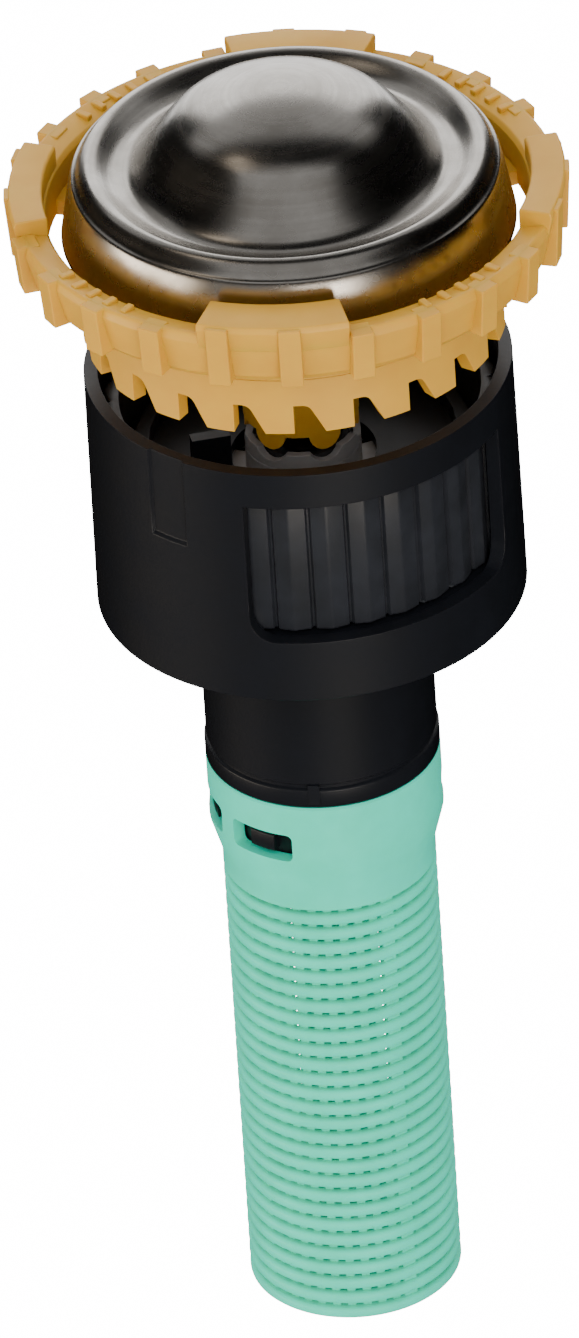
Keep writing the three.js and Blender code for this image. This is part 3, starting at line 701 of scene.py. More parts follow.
@dataclass
class Cap:
    """Pressed steel cap: a dome in a shallow trough, a rounded shoulder and a flared skirt."""

    workshop: Workshop
    sheet: float = 0.4
    trough_radius: float = 8.8
    trough_depth: float = 0.7
    shoulder_radius: float = 11.85
    shoulder_inset: float = 1.0
    shoulder_drop: float = 0.75
    dome_height: float = 5.05
    brow: Point = (0.34, 0.085)  # share of the trough's radius, share of the dome's height below its top
    flank: Point = (0.67, 0.35)
    skirt_flare: float = 0.6
    skirt_length: float = 3.25
    curve_steps: int = 8

    def build(self) -> None:
        """Builds the cap."""
        size = extent("steel_cap")
        trough = size.top - self.dome_height
        crest = trough + self.trough_depth
        outside = flowing(
            [
                (0, size.top),
                *(
                    (self.trough_radius * across, size.top - self.dome_height * down)
                    for across, down in (self.brow, self.flank)
                ),
                (self.trough_radius, trough),
                (self.shoulder_radius - self.shoulder_inset, crest),
                (self.shoulder_radius - self.shoulder_inset / 8, crest - self.shoulder_drop),
                (size.radius - self.skirt_flare, size.bottom + self.skirt_length),
                (size.radius, size.bottom),
            ],
            self.curve_steps,
        )
        shape = Shape()
        shape.spin(outside, WIDE_TURN, closed=False)
        self.workshop.deliver(
            shape, "cap_pressing", "head", PRESSED_STEEL, stands_for="steel_cap", wall=self.sheet
        )


@dataclass
class Crown:
    """Grip ring round the head, with ribs, four raised blocks and the spokes that hold it."""

    workshop: Workshop
    bore: float = 13.5
    wall_radius: float = 15.3
    height: float = 2.8
    foot: float = 0.5
    foot_width: float = 0.8
    draft: float = 0.55  # how much further in the wall is at its foot
    top_slope: float = 0.35  # how much lower the top's inner edge is
    outer_ease: Point = (0.15, 0.6)  # how far in and how far down the outer edge is eased
    inner_ease: Point = (0.2, 0.3)
    ribs: int = 24
    rib_azimuth: float = -1.5
    rib_width: float = 1.27
    rib_drop: float = 0.3
    rib_root: float = 0.9  # how far outside the bore a rib starts
    rib_below_top: float = 0.05
    rib_below_block: float = 0.1
    block_rise: float = 0.8
    blocks: tuple[float, ...] = (-5, 85, 175, 265)
    block_half_angle: float = 16.0
    block_inward: float = 0.65  # how far the front and back blocks reach in past the bore
    block_outward: float = 0.1  # how far outside the bore the side blocks start
    block_root: float = 0.9  # how far down into the wall a block starts
    block_behind_ribs: float = 0.2
    block_ease: Point = (0.1, 0.35)
    block_steps: int = 8
    spokes: int = 8
    spoke_half_angle: float = 5.0
    spoke_height: float = 1.0
    spoke_root: float = 11.2
    spoke_tip: float = 0.7  # how far a spoke reaches into the wall
    tick_height: float = 0.18
    tick_width: float = 0.45
    tick_margin: float = 0.45  # from each edge of the top
    tick_root: float = 0.2
    tick_level: float = 0.4  # share of the slope below the top where a tick's height counts from
    ticks: int = 5
    tick_pitch: float = 5.0

    def build(self) -> None:
        """Builds the ring, its blocks, its ribs, its spokes and the tick marks between its blocks."""
        size = extent("deflector")
        outer = size.radius
        top = size.top - self.block_rise
        bottom = top - self.height
        shape = Shape()
        foot_radius = self.wall_radius - self.draft
        shape.spin(
            rounded(
                [
                    (self.bore, bottom - self.foot, 0.15),
                    (self.bore + self.foot_width, bottom - self.foot, 0.15),
                    (foot_radius, bottom, 0.25),
                    (self.wall_radius, top - self.outer_ease[1], 0.3),
                    (self.wall_radius - self.outer_ease[0], top, 0.2),
                    (self.bore + self.inner_ease[0], top - self.top_slope, 0.2),
                    (self.bore, top - self.top_slope - self.inner_ease[1], 0.1),
                ]
            ),
            4 * self.ribs,
        )
        for index in range(self.ribs):
            azimuth = self.rib_azimuth + 360 / self.ribs * index
            away = min(abs((azimuth - block + 180) % 360 - 180) for block in self.blocks)
            under_block = away < self.block_half_angle
            shape.bar(
                self.rib_width,
                self.bore + self.rib_root,
                outer,
                bottom - self.rib_drop,
                size.top - self.rib_below_block if under_block else top - self.rib_below_top,
                azimuth,
                lean=self.draft / 2,
            )
        for index, azimuth in enumerate(self.blocks):
            inner = self.bore + (self.block_outward if index % 2 else -self.block_inward)
            face = outer - self.block_behind_ribs
            outline = rounded(
                [
                    (inner, top - self.block_root, 0.1),
                    (self.wall_radius - self.rib_below_top, top - self.block_root, 0.1),
                    (face, size.top - self.block_ease[1], 0.2),
                    (face - self.block_ease[0], size.top, 0.15),
                    (inner, size.top, 0.2),
                ]
            )
            shape.sweep(outline, azimuth, self.block_half_angle, self.block_steps)
        for index in range(self.spokes):
            outline = [
                (self.spoke_root, bottom - self.foot),
                (self.bore + self.spoke_tip, bottom - self.foot),
                (self.bore + self.spoke_tip, bottom - self.foot + self.spoke_height),
                (self.spoke_root, bottom - self.foot + self.spoke_height),
            ]
            azimuth = 360 / self.spokes * (index + 0.5)
            shape.sweep(outline, azimuth, self.spoke_half_angle, 3)
        self._ticks(shape, top)
        self.workshop.deliver(shape, "grip_crown", "head", TAN_ACETAL, edge=0.1)

    def _ticks(self, shape: Shape, top: float) -> None:
        """Adds plain raised ticks to the sloping top, in a group between each two blocks."""
        halfway = 180 / len(self.blocks)
        for block in self.blocks:
            for index in range(self.ticks):
                azimuth = block + halfway + (index - (self.ticks - 1) / 2) * self.tick_pitch
                shape.bar(
                    self.tick_width,
                    self.bore + self.tick_margin,
                    self.wall_radius - self.tick_margin,
                    top - self.top_slope - self.tick_root,
                    top - self.top_slope * self.tick_level + self.tick_height,
                    azimuth,
                )


@dataclass
class Deflector:
    """Fluted spinner under the cap: a toothed skirt, a fluted cone, a hub with drive lobes."""

    workshop: Workshop
    radius: float = 11.85
    teeth: int = 22
    teeth_azimuth: float = 2.1
    teeth_bottom: float = 13.9
    notch_height: float = 1.8
    notch_top: float = 0.85  # width of a notch along its top, before its corner is rounded
    notch_foot: float = 1.75  # width of a notch along its foot
    notch_fillet: float = 0.3
    skirt_wall: float = 0.9
    skirt_top: float = 17.4
    cone_bottom: float = 11.0
    cone_rise: float = 4.2
    cone_curve: float = 0.8  # power of the cone's rise, 1 for a straight cone
    cone_steps: int = 14
    flute_depth: float = 0.8
    flute_twist: float = 20.0
    flute_fullness: float = 0.7  # power of a flute's section, less for a fuller one
    flute_steps: int = 12
    lap: float = 0.1  # how far one piece runs into another
    hub_radius: float = 3.25
    chamber_radius: float = 10.5
    chamber_top: float = 22.3
    shaft_bore: float = 1.3
    bushing_pocket: float = 1.95
    bushing_top: float = 9.45
    lobes: int = 6
    lobe_azimuth: float = -36.0
    lobe_radius: float = 1.0
    lobe_inner: float = 2.3
    lobe_outer: float = 3.21
    lobe_rise: float = 1.4  # the lobes' height in lobe radii

    def build(self) -> None:
        """Builds the skirt, the body with its flutes, and the drive lobes."""
        self._skirt()
        self._body()
        self._lobes()

    def _skirt(self) -> None:
        """Builds the skirt with its teeth."""
        notch_cells, tooth_cells = 4, 4
        cells = notch_cells + tooth_cells
        pitch = 360 / self.teeth
        notch_rows = 8
        top_rows = 3
        per_degree = math.radians(self.radius)
        left = -self.notch_foot / 2

        def right_flank(height: float) -> float:
            """How far right a notch reaches at a height above the teeth's foot."""
            slant = (self.notch_foot - self.notch_top) * height / self.notch_height
            return self.notch_foot / 2 - slant

        def place(column: int, row: int) -> Place:
            """Where a point of the skirt goes."""
            tooth, cell = divmod(column, cells)
            share = min(row / notch_rows, 1)
            height = self.notch_height * math.sin(share * math.pi / 2)
            near_top = max(0, height - self.notch_height + self.notch_fillet)
            drop = self.notch_fillet - math.sqrt(self.notch_fillet**2 - near_top**2)
            right = right_flank(height) - drop
            if cell <= notch_cells:
                across = left + (right - left) * cell / notch_cells
            else:
                next_left = left + pitch * per_degree
                across = right + (next_left - right) * (cell - notch_cells) / tooth_cells
            z = self.teeth_bottom + height
            if row > notch_rows:
                z += (self.skirt_top - z) * (row - notch_rows) / top_rows
            azimuth = self.teeth_azimuth + tooth * pitch + across / per_degree
            return azimuth, self.radius, z

        shape = Shape()
        sheet = shape.sheet(
            cells * self.teeth,
            notch_rows + top_rows,
            place,
            lambda column, row: column % cells < notch_cells and row < notch_rows,
        )
        shape.thicken(sheet, lambda height: self.radius - self.skirt_wall)
        self.workshop.deliver(shape, "toothed_skirt", "head", TAN_ACETAL, edge=0.08)

    def _body(self) -> None:
        """Builds the hub, the fluted cone, the floor and the wall of the brake's chamber."""
        edge = self.radius - self.skirt_wall
        reach = edge - self.hub_radius

        def cone(radius: float) -> float:
            """Height of the cone's underside at a radius."""
            share = (radius - self.hub_radius) / reach
            return self.cone_bottom + self.cone_rise * share**self.cone_curve

        hub_foot = extent("deflector").bottom + self.lobe_radius
        outline = [
            (self.bushing_pocket, hub_foot),
            (self.hub_radius, hub_foot),
            *((radius, cone(radius)) for radius in between(self.hub_radius, edge, self.cone_steps)),
            (edge, self.skirt_top - self.lap),
            (self.radius - self.lap / 2, self.skirt_top - self.lap),
            (self.radius - self.lap / 2, self.chamber_top),
            (self.chamber_radius, self.chamber_top),
            (self.chamber_radius, self.skirt_top),
            (self.shaft_bore, self.skirt_top),
            (self.shaft_bore, self.bushing_top),
            (self.bushing_pocket, self.bushing_top),
        ]
        shape = Shape()
        for vert in shape.spin(outline, self.flute_steps * self.teeth):
            radius = math.hypot(vert.co.x, vert.co.y)
            share = (radius - self.hub_radius) / reach
            if 0 < share < 1 + NEAR / 10 and vert.co.z < cone(radius) + NEAR:
                azimuth = math.degrees(math.atan2(vert.co.x, -vert.co.y))
                lag = self.teeth_azimuth - self.flute_twist * (1 - share) ** 2
                phase = (azimuth - lag) * self.teeth / 360
                hollow = max(0.0, math.cos(2 * math.pi * phase)) ** self.flute_fullness
                vert.co.z += self.flute_depth * hollow * min(1, 4 * share)
        self.workshop.deliver(shape, "fluted_body", "head", TAN_ACETAL, stands_for="deflector")

    def _lobes(self) -> None:
        """Builds the ring of drive lobes under the hub."""
        arc_cells = 10
        cells = arc_cells + 2
        rows = 4
        pitch = 360 / self.lobes
        foot = extent("deflector").bottom
        top = foot + self.lobe_rise * self.lobe_radius

        def place(column: int, row: int) -> Place:
            """Where a point of the lobes goes."""
            lobe, cell = divmod(column, cells)
            swing = math.pi * (min(cell, arc_cells) / arc_cells)
            across = -self.lobe_radius * math.cos(swing)
            azimuth = math.degrees(across / self.lobe_outer)
            low = foot + self.lobe_radius * (1 - math.sin(swing))
            if cell == cells - 1:
                azimuth, low = pitch / 2, foot + self.lobe_radius
            height = low + (top - low) * row / rows
            return self.lobe_azimuth + lobe * pitch + azimuth, self.lobe_outer, height

        shape = Shape()
        sheet = shape.sheet(cells * self.lobes, rows, place)
        shape.thicken(sheet, lambda height: self.lobe_inner)
        self.workshop.deliver(shape, "drive_lobes", "head", TAN_ACETAL, edge=0.05)


# ---------------------------------------------------------------- housing


@dataclass
class BodyShell:
    """Outer shell with its thumb windows, and the socket, neck and spigot inside and below it."""

    workshop: Workshop
    height: float = 14.9
    wall: float = 0.8
    draft: float = 0.1
    windows: tuple[float, ...] = (23.5, 203.5)
    window_bottom: float = 0.1
    window_top: float = 9.0
    window_half_angle: float = 41.0
    window_corner: float = 1.5
    wall_columns: int = 120
    corner_steps: int = 5
    column_clear: float = 0.3  # degrees that the even columns keep from a window's or pad's own
    rows_beside: tuple[float, float] = (3.0, 7.4)
    rows_above: tuple[float, float] = (9.8, 10.6)
    pads: tuple[float, ...] = (-40.5, 139.5)
    pad_half_angle: float = 5.5
    pad_depth: float = 0.2
    pad_height: float = 5.4
    pad_step: float = 0.15  # height of the slope at a pad's foot
    pad_slope: float = 0.4  # degrees of the slope at a pad's sides
    thread_radius: float = 8.9
    thread_wall: float = 1.0
    thread_height: float = 0.35
    thread_pitch: float = 0.94
    thread_turns: int = 3
    thread_half_share: float = 0.35  # share of the pitch on each side of a ridge's middle
    thread_steps: int = 48
    seat_bottom: float = 0.55
    seat_top: float = 1.25
    web: float = 0.9
    web_lap: float = 0.2  # how far the web runs into the wall
    neck_radius: float = 6.54
    neck_bore: float = 5.4
    lip_radius: float = 6.64
    lip_bottom: float = -14.65
    lip_height: float = 1.15
    lip_groove: float = 0.3
    lip_groove_depth: float = 0.1
    key_width: float = 0.66
    key_root: float = 0.5
    key_proud: float = 0.05
    key_azimuth: float = -6.0
    spigot_bore: float = 4.8
    spigot_radius: float = 5.75
    spigot_length: float = 4.3
    lugs: tuple[float, ...] = (-81, -36, 99, 144)
    lug_half_angle: float = 7.0
    lug_height: float = 1.1
    lug_middle: float = -17.525
    lug_root: float = 0.2
    lug_inside_lip: float = 0.26

    def build(self) -> None:
        """Builds the shell's wall, and the socket with the neck."""
        self._wall()
        self._socket()

    def _foot(self) -> float:
        """Height of the wall's lower edge."""
        return extent("body_shell").top - self.height

    def _columns(self) -> list[float]:
        """The azimuths where the wall has a line of points."""
        radius = extent("body_shell").radius
        corner = math.degrees(self.window_corner / radius)
        marks = {round(azimuth, 3) for azimuth in between(-180, 180, self.wall_columns)[:-1]}
        for window in self.windows:
            for side in (-1, 1):
                for share in between(0, 1, self.corner_steps):
                    inset = corner * (1 - math.cos(share * math.pi / 2))
                    mark = window + side * (self.window_half_angle - inset)
                    marks = {
                        other
                        for other in marks
                        if abs((other - mark + 180) % 360 - 180) > self.column_clear
                    }
                    marks.add(mark if mark < 180 else mark - 360)
        for pad in self.pads:
            for side in (-1, 1):
                for gap in (0, self.pad_slope):
                    mark = pad + side * (self.pad_half_angle + gap)
                    marks = {other for other in marks if abs(other - mark) > self.column_clear}
                    marks.add(mark)
        return sorted(marks)

    def _wall(self) -> None:
        """Builds the wall with its two windows and its two shallow pads."""
        size = extent("body_shell")
        foot, rim = self._foot(), size.top
        columns = self._columns()
        count = len(columns)
        corner = math.degrees(self.window_corner / size.radius)
        sill_row = 3
        pad_foot = rim - self.pad_height
        low_row, high_row = self.rows_beside
        bands = [low_row, pad_foot - self.pad_step, pad_foot, high_row]
        top_row = sill_row + len(bands) + 1
        above = [self.window_top, *self.rows_above, rim]

        def inset(azimuth: float) -> float | None:
            """Degrees from the nearer side of the window that an azimuth is in, if it is in one."""
            for window in self.windows:
                away = self.window_half_angle - abs((azimuth - window + 180) % 360 - 180)
                if away > -NEAR:
                    return max(0.0, away)
            return None

        def sill(azimuth: float) -> float:
            """Height of a window's lower edge, rounded up at its corners."""
            away = inset(azimuth)
            across = self.window_corner if away is None else 0.0
            if away is not None:
                across = max(0.0, self.window_corner * (1 - away / corner))
            lift = self.window_corner - math.sqrt(max(0.0, self.window_corner**2 - across**2))
            return self.window_bottom + lift

        def place(column: int, row: int) -> Place:
            """Where a point of the wall goes."""
            azimuth = columns[column % count]
            low = sill(azimuth)
            if row <= sill_row:
                height = foot + (low - foot) * row / sill_row
            elif row < top_row:
                height = bands[row - sill_row - 1]
            else:
                height = above[row - top_row]
            share = (height - foot) / (rim - foot)
            radius = size.radius - self.draft * share
            reach = self.pad_half_angle + self.pad_slope / 4
            padded = any(abs(azimuth - pad) < reach for pad in self.pads)
            if padded and height >= pad_foot - NEAR:
                radius -= self.pad_depth
            return azimuth, radius, height

        def gone(column: int, row: int) -> bool:
            """Whether a cell is in a window."""
            here, there = columns[column % count], columns[(column + 1) % count]
            there += 360 if there < here else 0
            middle = inset((here + there) / 2)
            return middle is not None and middle > 0 and sill_row <= row < top_row

        shape = Shape()
        sheet = shape.sheet(count, top_row + len(above) - 1, place, gone)
        shape.thicken(sheet, lambda height: size.radius - self.draft - self.wall)
        self.workshop.deliver(
            shape, "shell_wall", "housing", BLACK_ACETAL, stands_for="body_shell", edge=0.14
        )

    def _socket(self) -> None:
        """Builds the threaded socket, the webs, the neck with its lip, and the spigot with its lugs."""
        size = extent("body_shell")
        foot = self._foot()
        shell_bore = size.radius - self.draft - self.wall
        thread_outer = self.thread_radius + self.thread_wall
        lip_top = self.lip_bottom + self.lip_height
        groove_radius = self.neck_radius - self.lip_groove_depth
        groove_top = lip_top + self.lip_groove + self.lip_groove_depth
        spigot_bottom = self.lip_bottom - self.spigot_length
        shape = Shape()
        outline = rounded(
            [
                (self.spigot_bore, spigot_bottom, 0.1),
                (self.spigot_radius, spigot_bottom, 0.25),
                (self.spigot_radius, self.lip_bottom, 0),
                (self.lip_radius, self.lip_bottom, 0.15),
                (self.lip_radius, lip_top, 0.12),
                (groove_radius, lip_top + self.lip_groove_depth, 0),
                (groove_radius, lip_top + self.lip_groove, 0),
                (self.neck_radius, groove_top, 0),
                (self.neck_radius, self.seat_bottom, 0),
                (self.thread_radius, self.seat_bottom, 0),
                (self.thread_radius, foot, 0.15),
                (thread_outer, foot, 0.15),
                (thread_outer, -self.web, 0),
                (shell_bore + self.web_lap, -self.web, 0),
                (shell_bore + self.web_lap, 0, 0),
                (thread_outer, 0, 0),
                (thread_outer, self.seat_top, 0.1),
                (self.neck_bore, self.seat_top, 0.1),
                (self.neck_bore, lip_top, 0),
                (self.spigot_bore, self.lip_bottom, 0),
            ]
        )
        shape.spin(outline, WIDE_TURN)
        half_foot = self.thread_pitch * self.thread_half_share
        ridge_bottom = foot + self.thread_pitch / 2
        ridge = [
            (self.thread_radius + self.thread_height, ridge_bottom - half_foot),
            (self.thread_radius + self.thread_height, ridge_bottom + half_foot),
            (self.thread_radius - self.thread_height, ridge_bottom),
        ]
        half_sweep = 180 * self.thread_turns
        climb = self.thread_pitch * self.thread_turns
        shape.sweep(ridge, 0, half_sweep, self.thread_steps * self.thread_turns, climb=climb)
        for azimuth in self.lugs:
            low, high = self.lug_middle - self.lug_height / 2, self.lug_middle + self.lug_height / 2
            lug = rounded(
                [
                    (self.spigot_radius - self.lug_root, low, 0),
                    (self.lip_radius - self.lug_inside_lip, low, 0.1),
                    (self.lip_radius - self.lug_inside_lip, high, 0.1),
                    (self.spigot_radius - self.lug_root, high, 0),
                ]
            )
            shape.sweep(lug, azimuth, self.lug_half_angle, 4)
        shape.bar(
            self.key_width,
            self.neck_radius - self.key_root,
            self.lip_radius + self.key_proud,
            self.lip_bottom + self.lip_height / 4,
            groove_top,
            self.key_azimuth,
        )
        self.workshop.deliver(shape, "socket_and_neck", "housing", BLACK_ACETAL)


# ---------------------------------------------------------------- adjusting pieces


@dataclass
class RadiusRing:
    """Ribbed ring that the thumb turns through the windows, with the splined tube inside it."""

    workshop: Workshop
    ribs: int = 32
    groove_depth: float = 0.4
    groove_share: float = 0.05  # share of a rib's pitch on each side of a groove
    facet_drop: float = 0.22  # how much lower a rib's sides are than its ridge
    ridge_share: float = 0.45  # where across a rib its ridge is
    rib_steps: int = 20
    rib_band: float = 0.3  # points this near the outside follow the ribs
    bore: float = 10.1
    web_bottom: float = 1.45
    web: float = 0.65
    tube_bore: float = 6.35
    tube_radius: float = 7.0
    tube_top: float = 3.3
    splines: int = 6
    spline_half_angle: float = 5.2
    spline_depth: float = 0.35
    spline_steps: int = 30
    spline_band: float = 0.15
    web_lap: float = 0.2  # how far the web runs into the ring

    def _profile(self, azimuth: float) -> float:
        """How far inside its full radius the ring's outer face is at an azimuth."""
        share = (azimuth / 360 * self.ribs) % 1
        edge = min(share, 1 - share)
        if edge < self.groove_share:
            return self.groove_depth
        return self.facet_drop * abs(share - self.ridge_share) / 0.5

    def build(self) -> None:
        """Builds the ring."""
        size = extent("radius_ring")
        shape = Shape()
        wall = shape.spin(
            rounded(
                [
                    (self.bore, size.bottom, 0.1),
                    (size.radius, size.bottom, 0.15),
                    (size.radius, size.top, 0.2),
                    (self.bore, size.top, 0.1),
                ]
            ),
            self.rib_steps * self.ribs,
        )
        for vert in wall:
            radius = math.hypot(vert.co.x, vert.co.y)
            if radius > size.radius - self.rib_band:
                azimuth = math.degrees(math.atan2(vert.co.x, -vert.co.y))
                scale = 1 - self._profile(azimuth) / radius
                vert.co.x, vert.co.y = vert.co.x * scale, vert.co.y * scale
        inside = shape.spin(
            rounded(
                [
                    (self.tube_bore, self.web_bottom, 0.1),
                    (self.bore + self.web_lap, self.web_bottom, 0),
                    (self.bore + self.web_lap, self.web_bottom + self.web, 0),
                    (self.tube_radius, self.web_bottom + self.web, 0),
                    (self.tube_radius, self.tube_top, 0.1),
                    (self.tube_bore, self.tube_top, 0.1),
                ]
            ),
            self.spline_steps * self.splines,
        )
        for vert in inside:
            radius = math.hypot(vert.co.x, vert.co.y)
            azimuth = math.degrees(math.atan2(vert.co.x, -vert.co.y))
            half_pitch = 180 / self.splines
            away = abs((azimuth + half_pitch) % (2 * half_pitch) - half_pitch)
            if radius < self.tube_bore + self.spline_band and away < self.spline_half_angle:
                scale = 1 + self.spline_depth / radius
                vert.co.x, vert.co.y = vert.co.x * scale, vert.co.y * scale
        # The ring's acetal is the shell's, painted lighter: painted light on its ribs.
        self.workshop.deliver(
            shape, "ribbed_ring", "radius_adjuster", RIBBED_ACETAL_PAINTED_LIT, stands_for="radius_ring"
        )


@dataclass
class ValveSleeve:
    """Sleeve of the arc valve, with notches for the drive lobes and a flange that shuts the slot."""

    workshop: Workshop
    bore: float = 2.2
    pocket: float = 2.8
    flange_height: float = 0.4
    pocket_depth: float = 1.0
    notches: int = 6
    notch_azimuth: float = -36.0
    notch_radius: float = 1.15
    notch_centre: float = 7.4
    barrel_radius: float = 3.26
    flange_azimuth: float = 0.0
    flange_half_angle: float = 112.5
    flange_root: float = 0.2
    flange_steps: int = 32

    def build(self) -> None:
        """Builds the sleeve."""
        size = extent("valve_sleeve")
        floor = size.top - self.pocket_depth
        shape = Shape()
        shape.spin(
            rounded(
                [
                    (self.bore, size.bottom, 0.08),
                    (self.barrel_radius, size.bottom, 0.08),
                    (self.barrel_radius, floor, 0),
                    (self.bore, floor, 0.08),
                ]
            ),
            NARROW_TURN,
        )
        flange = [
            (self.barrel_radius - self.flange_root, size.bottom),
            (size.radius, size.bottom),
            (size.radius, size.bottom + self.flange_height),
            (self.barrel_radius - self.flange_root, size.bottom + self.flange_height),
        ]
        shape.sweep(flange, self.flange_azimuth, self.flange_half_angle, self.flange_steps)
        arc_cells, rows = 12, 3
        cells = arc_cells + 2
        pitch = 360 / self.notches
        dip = size.top - self.notch_centre
        half = math.degrees(math.sqrt(self.notch_radius**2 - dip**2) / self.barrel_radius)

        def place(column: int, row: int) -> Place:
            """Where a point of the castellated upper edge goes."""
            notch, cell = divmod(column, cells)
            share = min(cell, arc_cells) / arc_cells
            azimuth = half * (2 * share - 1) if cell <= arc_cells else pitch / 2
            across = min(abs(math.radians(azimuth) * self.barrel_radius), self.notch_radius)
            low = self.notch_centre - math.sqrt(self.notch_radius**2 - across**2)
            crest = min(size.top, low) if cell <= arc_cells else size.top
            height = floor + (crest - floor) * row / rows
            return self.notch_azimuth + notch * pitch + azimuth, self.barrel_radius, height

        sheet = shape.sheet(cells * self.notches, rows, place)
        shape.thicken(sheet, lambda height: self.pocket)
        self.workshop.deliver(
            shape, "valve_barrel", "arc_valve", GREY_ACETAL, stands_for="valve_sleeve", edge=0.05
        )


# ---------------------------------------------------------------- filter screen


@dataclass
class FilterScreen:
    """Closed tube of stacked rings on upright bars, with slots in its collar for the lugs."""

    workshop: Workshop
    collar_bore: float = 5.85
    collar_length: float = 4.0
    taper_length: float = 2.2
    tube_radius: float = 6.04
    tube_bore: float = 5.31
    plain_band: float = 1.2
    rings: int = 28
    gap: float = 0.33  # open height between two rings
    ring_bore: float = 5.5
    ring_fillets: tuple[float, float] = (0.22, 0.26)  # at a ring's foot and at its top
    ring_steps: int = 96
    groove_depth: float = 0.45
    bars: int = 40
    bar_width: float = 0.46
    wide_bars: int = 4
    wide_bar_azimuth: float = 32.0
    wide_bar_width: float = 0.8
    wide_bar_proud: float = 0.1
    bar_lap: float = 0.3  # how far the bars run up into the plain band
    floor: float = 0.9
    slots: tuple[float, ...] = (-81, -36, 99, 144)
    slot_half_angle: float = 17.5
    slot_height: float = 1.75
    slot_above_taper: float = 0.3
    slot_corner: float = 0.35
    corner_steps: int = 4
    column_angle: float = 4.0  # the widest column of the collar, in degrees
    edge_inset: float = 0.1  # how far the collar's two edges are drawn in
    rim_ease: float = 0.12

    def build(self) -> None:
        """Builds the collar, the rings, the bars and the floor."""
        size = extent("filter_screen")
        taper_top = size.top - self.collar_length
        tube_top = taper_top - self.taper_length
        first_gap = tube_top - self.plain_band
        shape = Shape()
        self._collar(shape, size, taper_top, tube_top, first_gap)
        self._rings(shape, size, first_gap)
        self._bars(shape, size, first_gap)
        self.workshop.deliver(
            shape, "screen_moulding", "screen", TEAL_POLYPROPYLENE, stands_for="filter_screen"
        )

    def _collar(
        self, shape: Shape, size: Extent, taper_top: float, tube_top: float, first_gap: float
    ) -> None:
        """Adds the collar with its slots, the taper and the plain band.

        Args:
            shape: The shape to add to.
            size: The whole screen's extent.
            taper_top: Height where the collar starts to taper.
            tube_top: Height where the taper ends.
            first_gap: Height of the plain band's foot.
        """
        corner = math.degrees(self.slot_corner / size.radius)
        steps = between(0, 1, self.corner_steps)
        marks = sorted(
            azimuth + side * (self.slot_half_angle - corner * (1 - math.cos(share * math.pi / 2)))
            for azimuth in self.slots
            for side in (-1, 1)
            for share in steps
        )
        filled = [
            mark + (after - mark) * step / parts
            for mark, after in zip(marks, [*marks[1:], marks[0] + 360])
            for parts in [max(1, math.ceil((after - mark) / self.column_angle))]
            for step in range(parts)
        ]
        low = taper_top + self.slot_above_taper
        high = low + self.slot_height
        foot = [first_gap, first_gap + self.edge_inset]
        heights = [*foot, tube_top, taper_top, low, high, size.top - self.rim_ease, size.top]
        low_row, high_row = 4, 5

        def away(azimuth: float) -> float:
            """Degrees inside the nearest slot's side, below 0 outside every slot."""
            return max(self.slot_half_angle - abs((azimuth - slot + 180) % 360 - 180) for slot in self.slots)

        def place(column: int, row: int) -> Place:
            """Where a point of the collar goes."""
            azimuth = filled[column % len(filled)]
            height = heights[row]
            inside = away(azimuth)
            across = self.slot_corner * max(0.0, 1 - max(0.0, inside) / corner)
            lift = self.slot_corner - math.sqrt(max(0.0, self.slot_corner**2 - across**2))
            if row == low_row:
                height += lift
            if row == high_row:
                height -= lift
            if height > taper_top:
                radius = size.radius
            elif height > tube_top:
                share = (height - tube_top) / (taper_top - tube_top)
                radius = self.tube_radius + (size.radius - self.tube_radius) * share
            else:
                radius = self.tube_radius
            if row in (0, len(heights) - 1):
                radius -= self.edge_inset
            return azimuth, radius, height

        def gone(column: int, row: int) -> bool:
            """Whether a cell is in a slot."""
            here, there = filled[column], filled[(column + 1) % len(filled)]
            there += 360 if there < here else 0
            return row == low_row and away((here + there) / 2) > 0

        def inner(height: float) -> float:
            """The collar's inside radius at a height."""
            share = min(1.0, max(0.0, (height - tube_top) / (taper_top - tube_top)))
            return self.tube_bore + (self.collar_bore - self.tube_bore) * share

        sheet = shape.sheet(len(filled), len(heights) - 1, place, gone)
        shape.thicken(sheet, inner)

    def _rings(self, shape: Shape, size: Extent, first_gap: float) -> None:
        """Adds the rings and the floor.

        Args:
            shape: The shape to add to.
            size: The whole screen's extent.
            first_gap: Height of the plain band's foot.
        """
        pitch = (first_gap - size.bottom) / self.rings
        foot_fillet, top_fillet = self.ring_fillets
        for ring in range(self.rings):
            top = first_gap - ring * pitch - self.gap
            bottom = top - pitch + self.gap
            last = ring == self.rings - 1
            inner = 0.0 if last else self.ring_bore
            outline = rounded(
                [
                    (inner, bottom, 0),
                    (self.tube_radius, bottom, foot_fillet),
                    (self.tube_radius, top, top_fillet),
                    (inner, top, 0),
                ]
            )
            shape.spin(outline, self.ring_steps)

    def _bars(self, shape: Shape, size: Extent, first_gap: float) -> None:
        """Adds the upright bars behind the gaps.

        Args:
            shape: The shape to add to.
            size: The whole screen's extent.
            first_gap: Height of the plain band's foot.
        """
        outer = self.tube_radius - self.groove_depth
        bottom, top = size.bottom + self.floor / 2, first_gap + self.bar_lap
        for quarter in range(self.wide_bars):
            wide = self.wide_bar_azimuth + 90 * quarter
            shape.bar(self.wide_bar_width, self.tube_bore, outer + self.wide_bar_proud, bottom, top, wide)
            per_quarter = self.bars // self.wide_bars
            for index in range(1, per_quarter):
                azimuth = wide + 90 * index / per_quarter
                shape.bar(self.bar_width, self.tube_bore, outer, bottom, top, azimuth)


# ---------------------------------------------------------------- studio


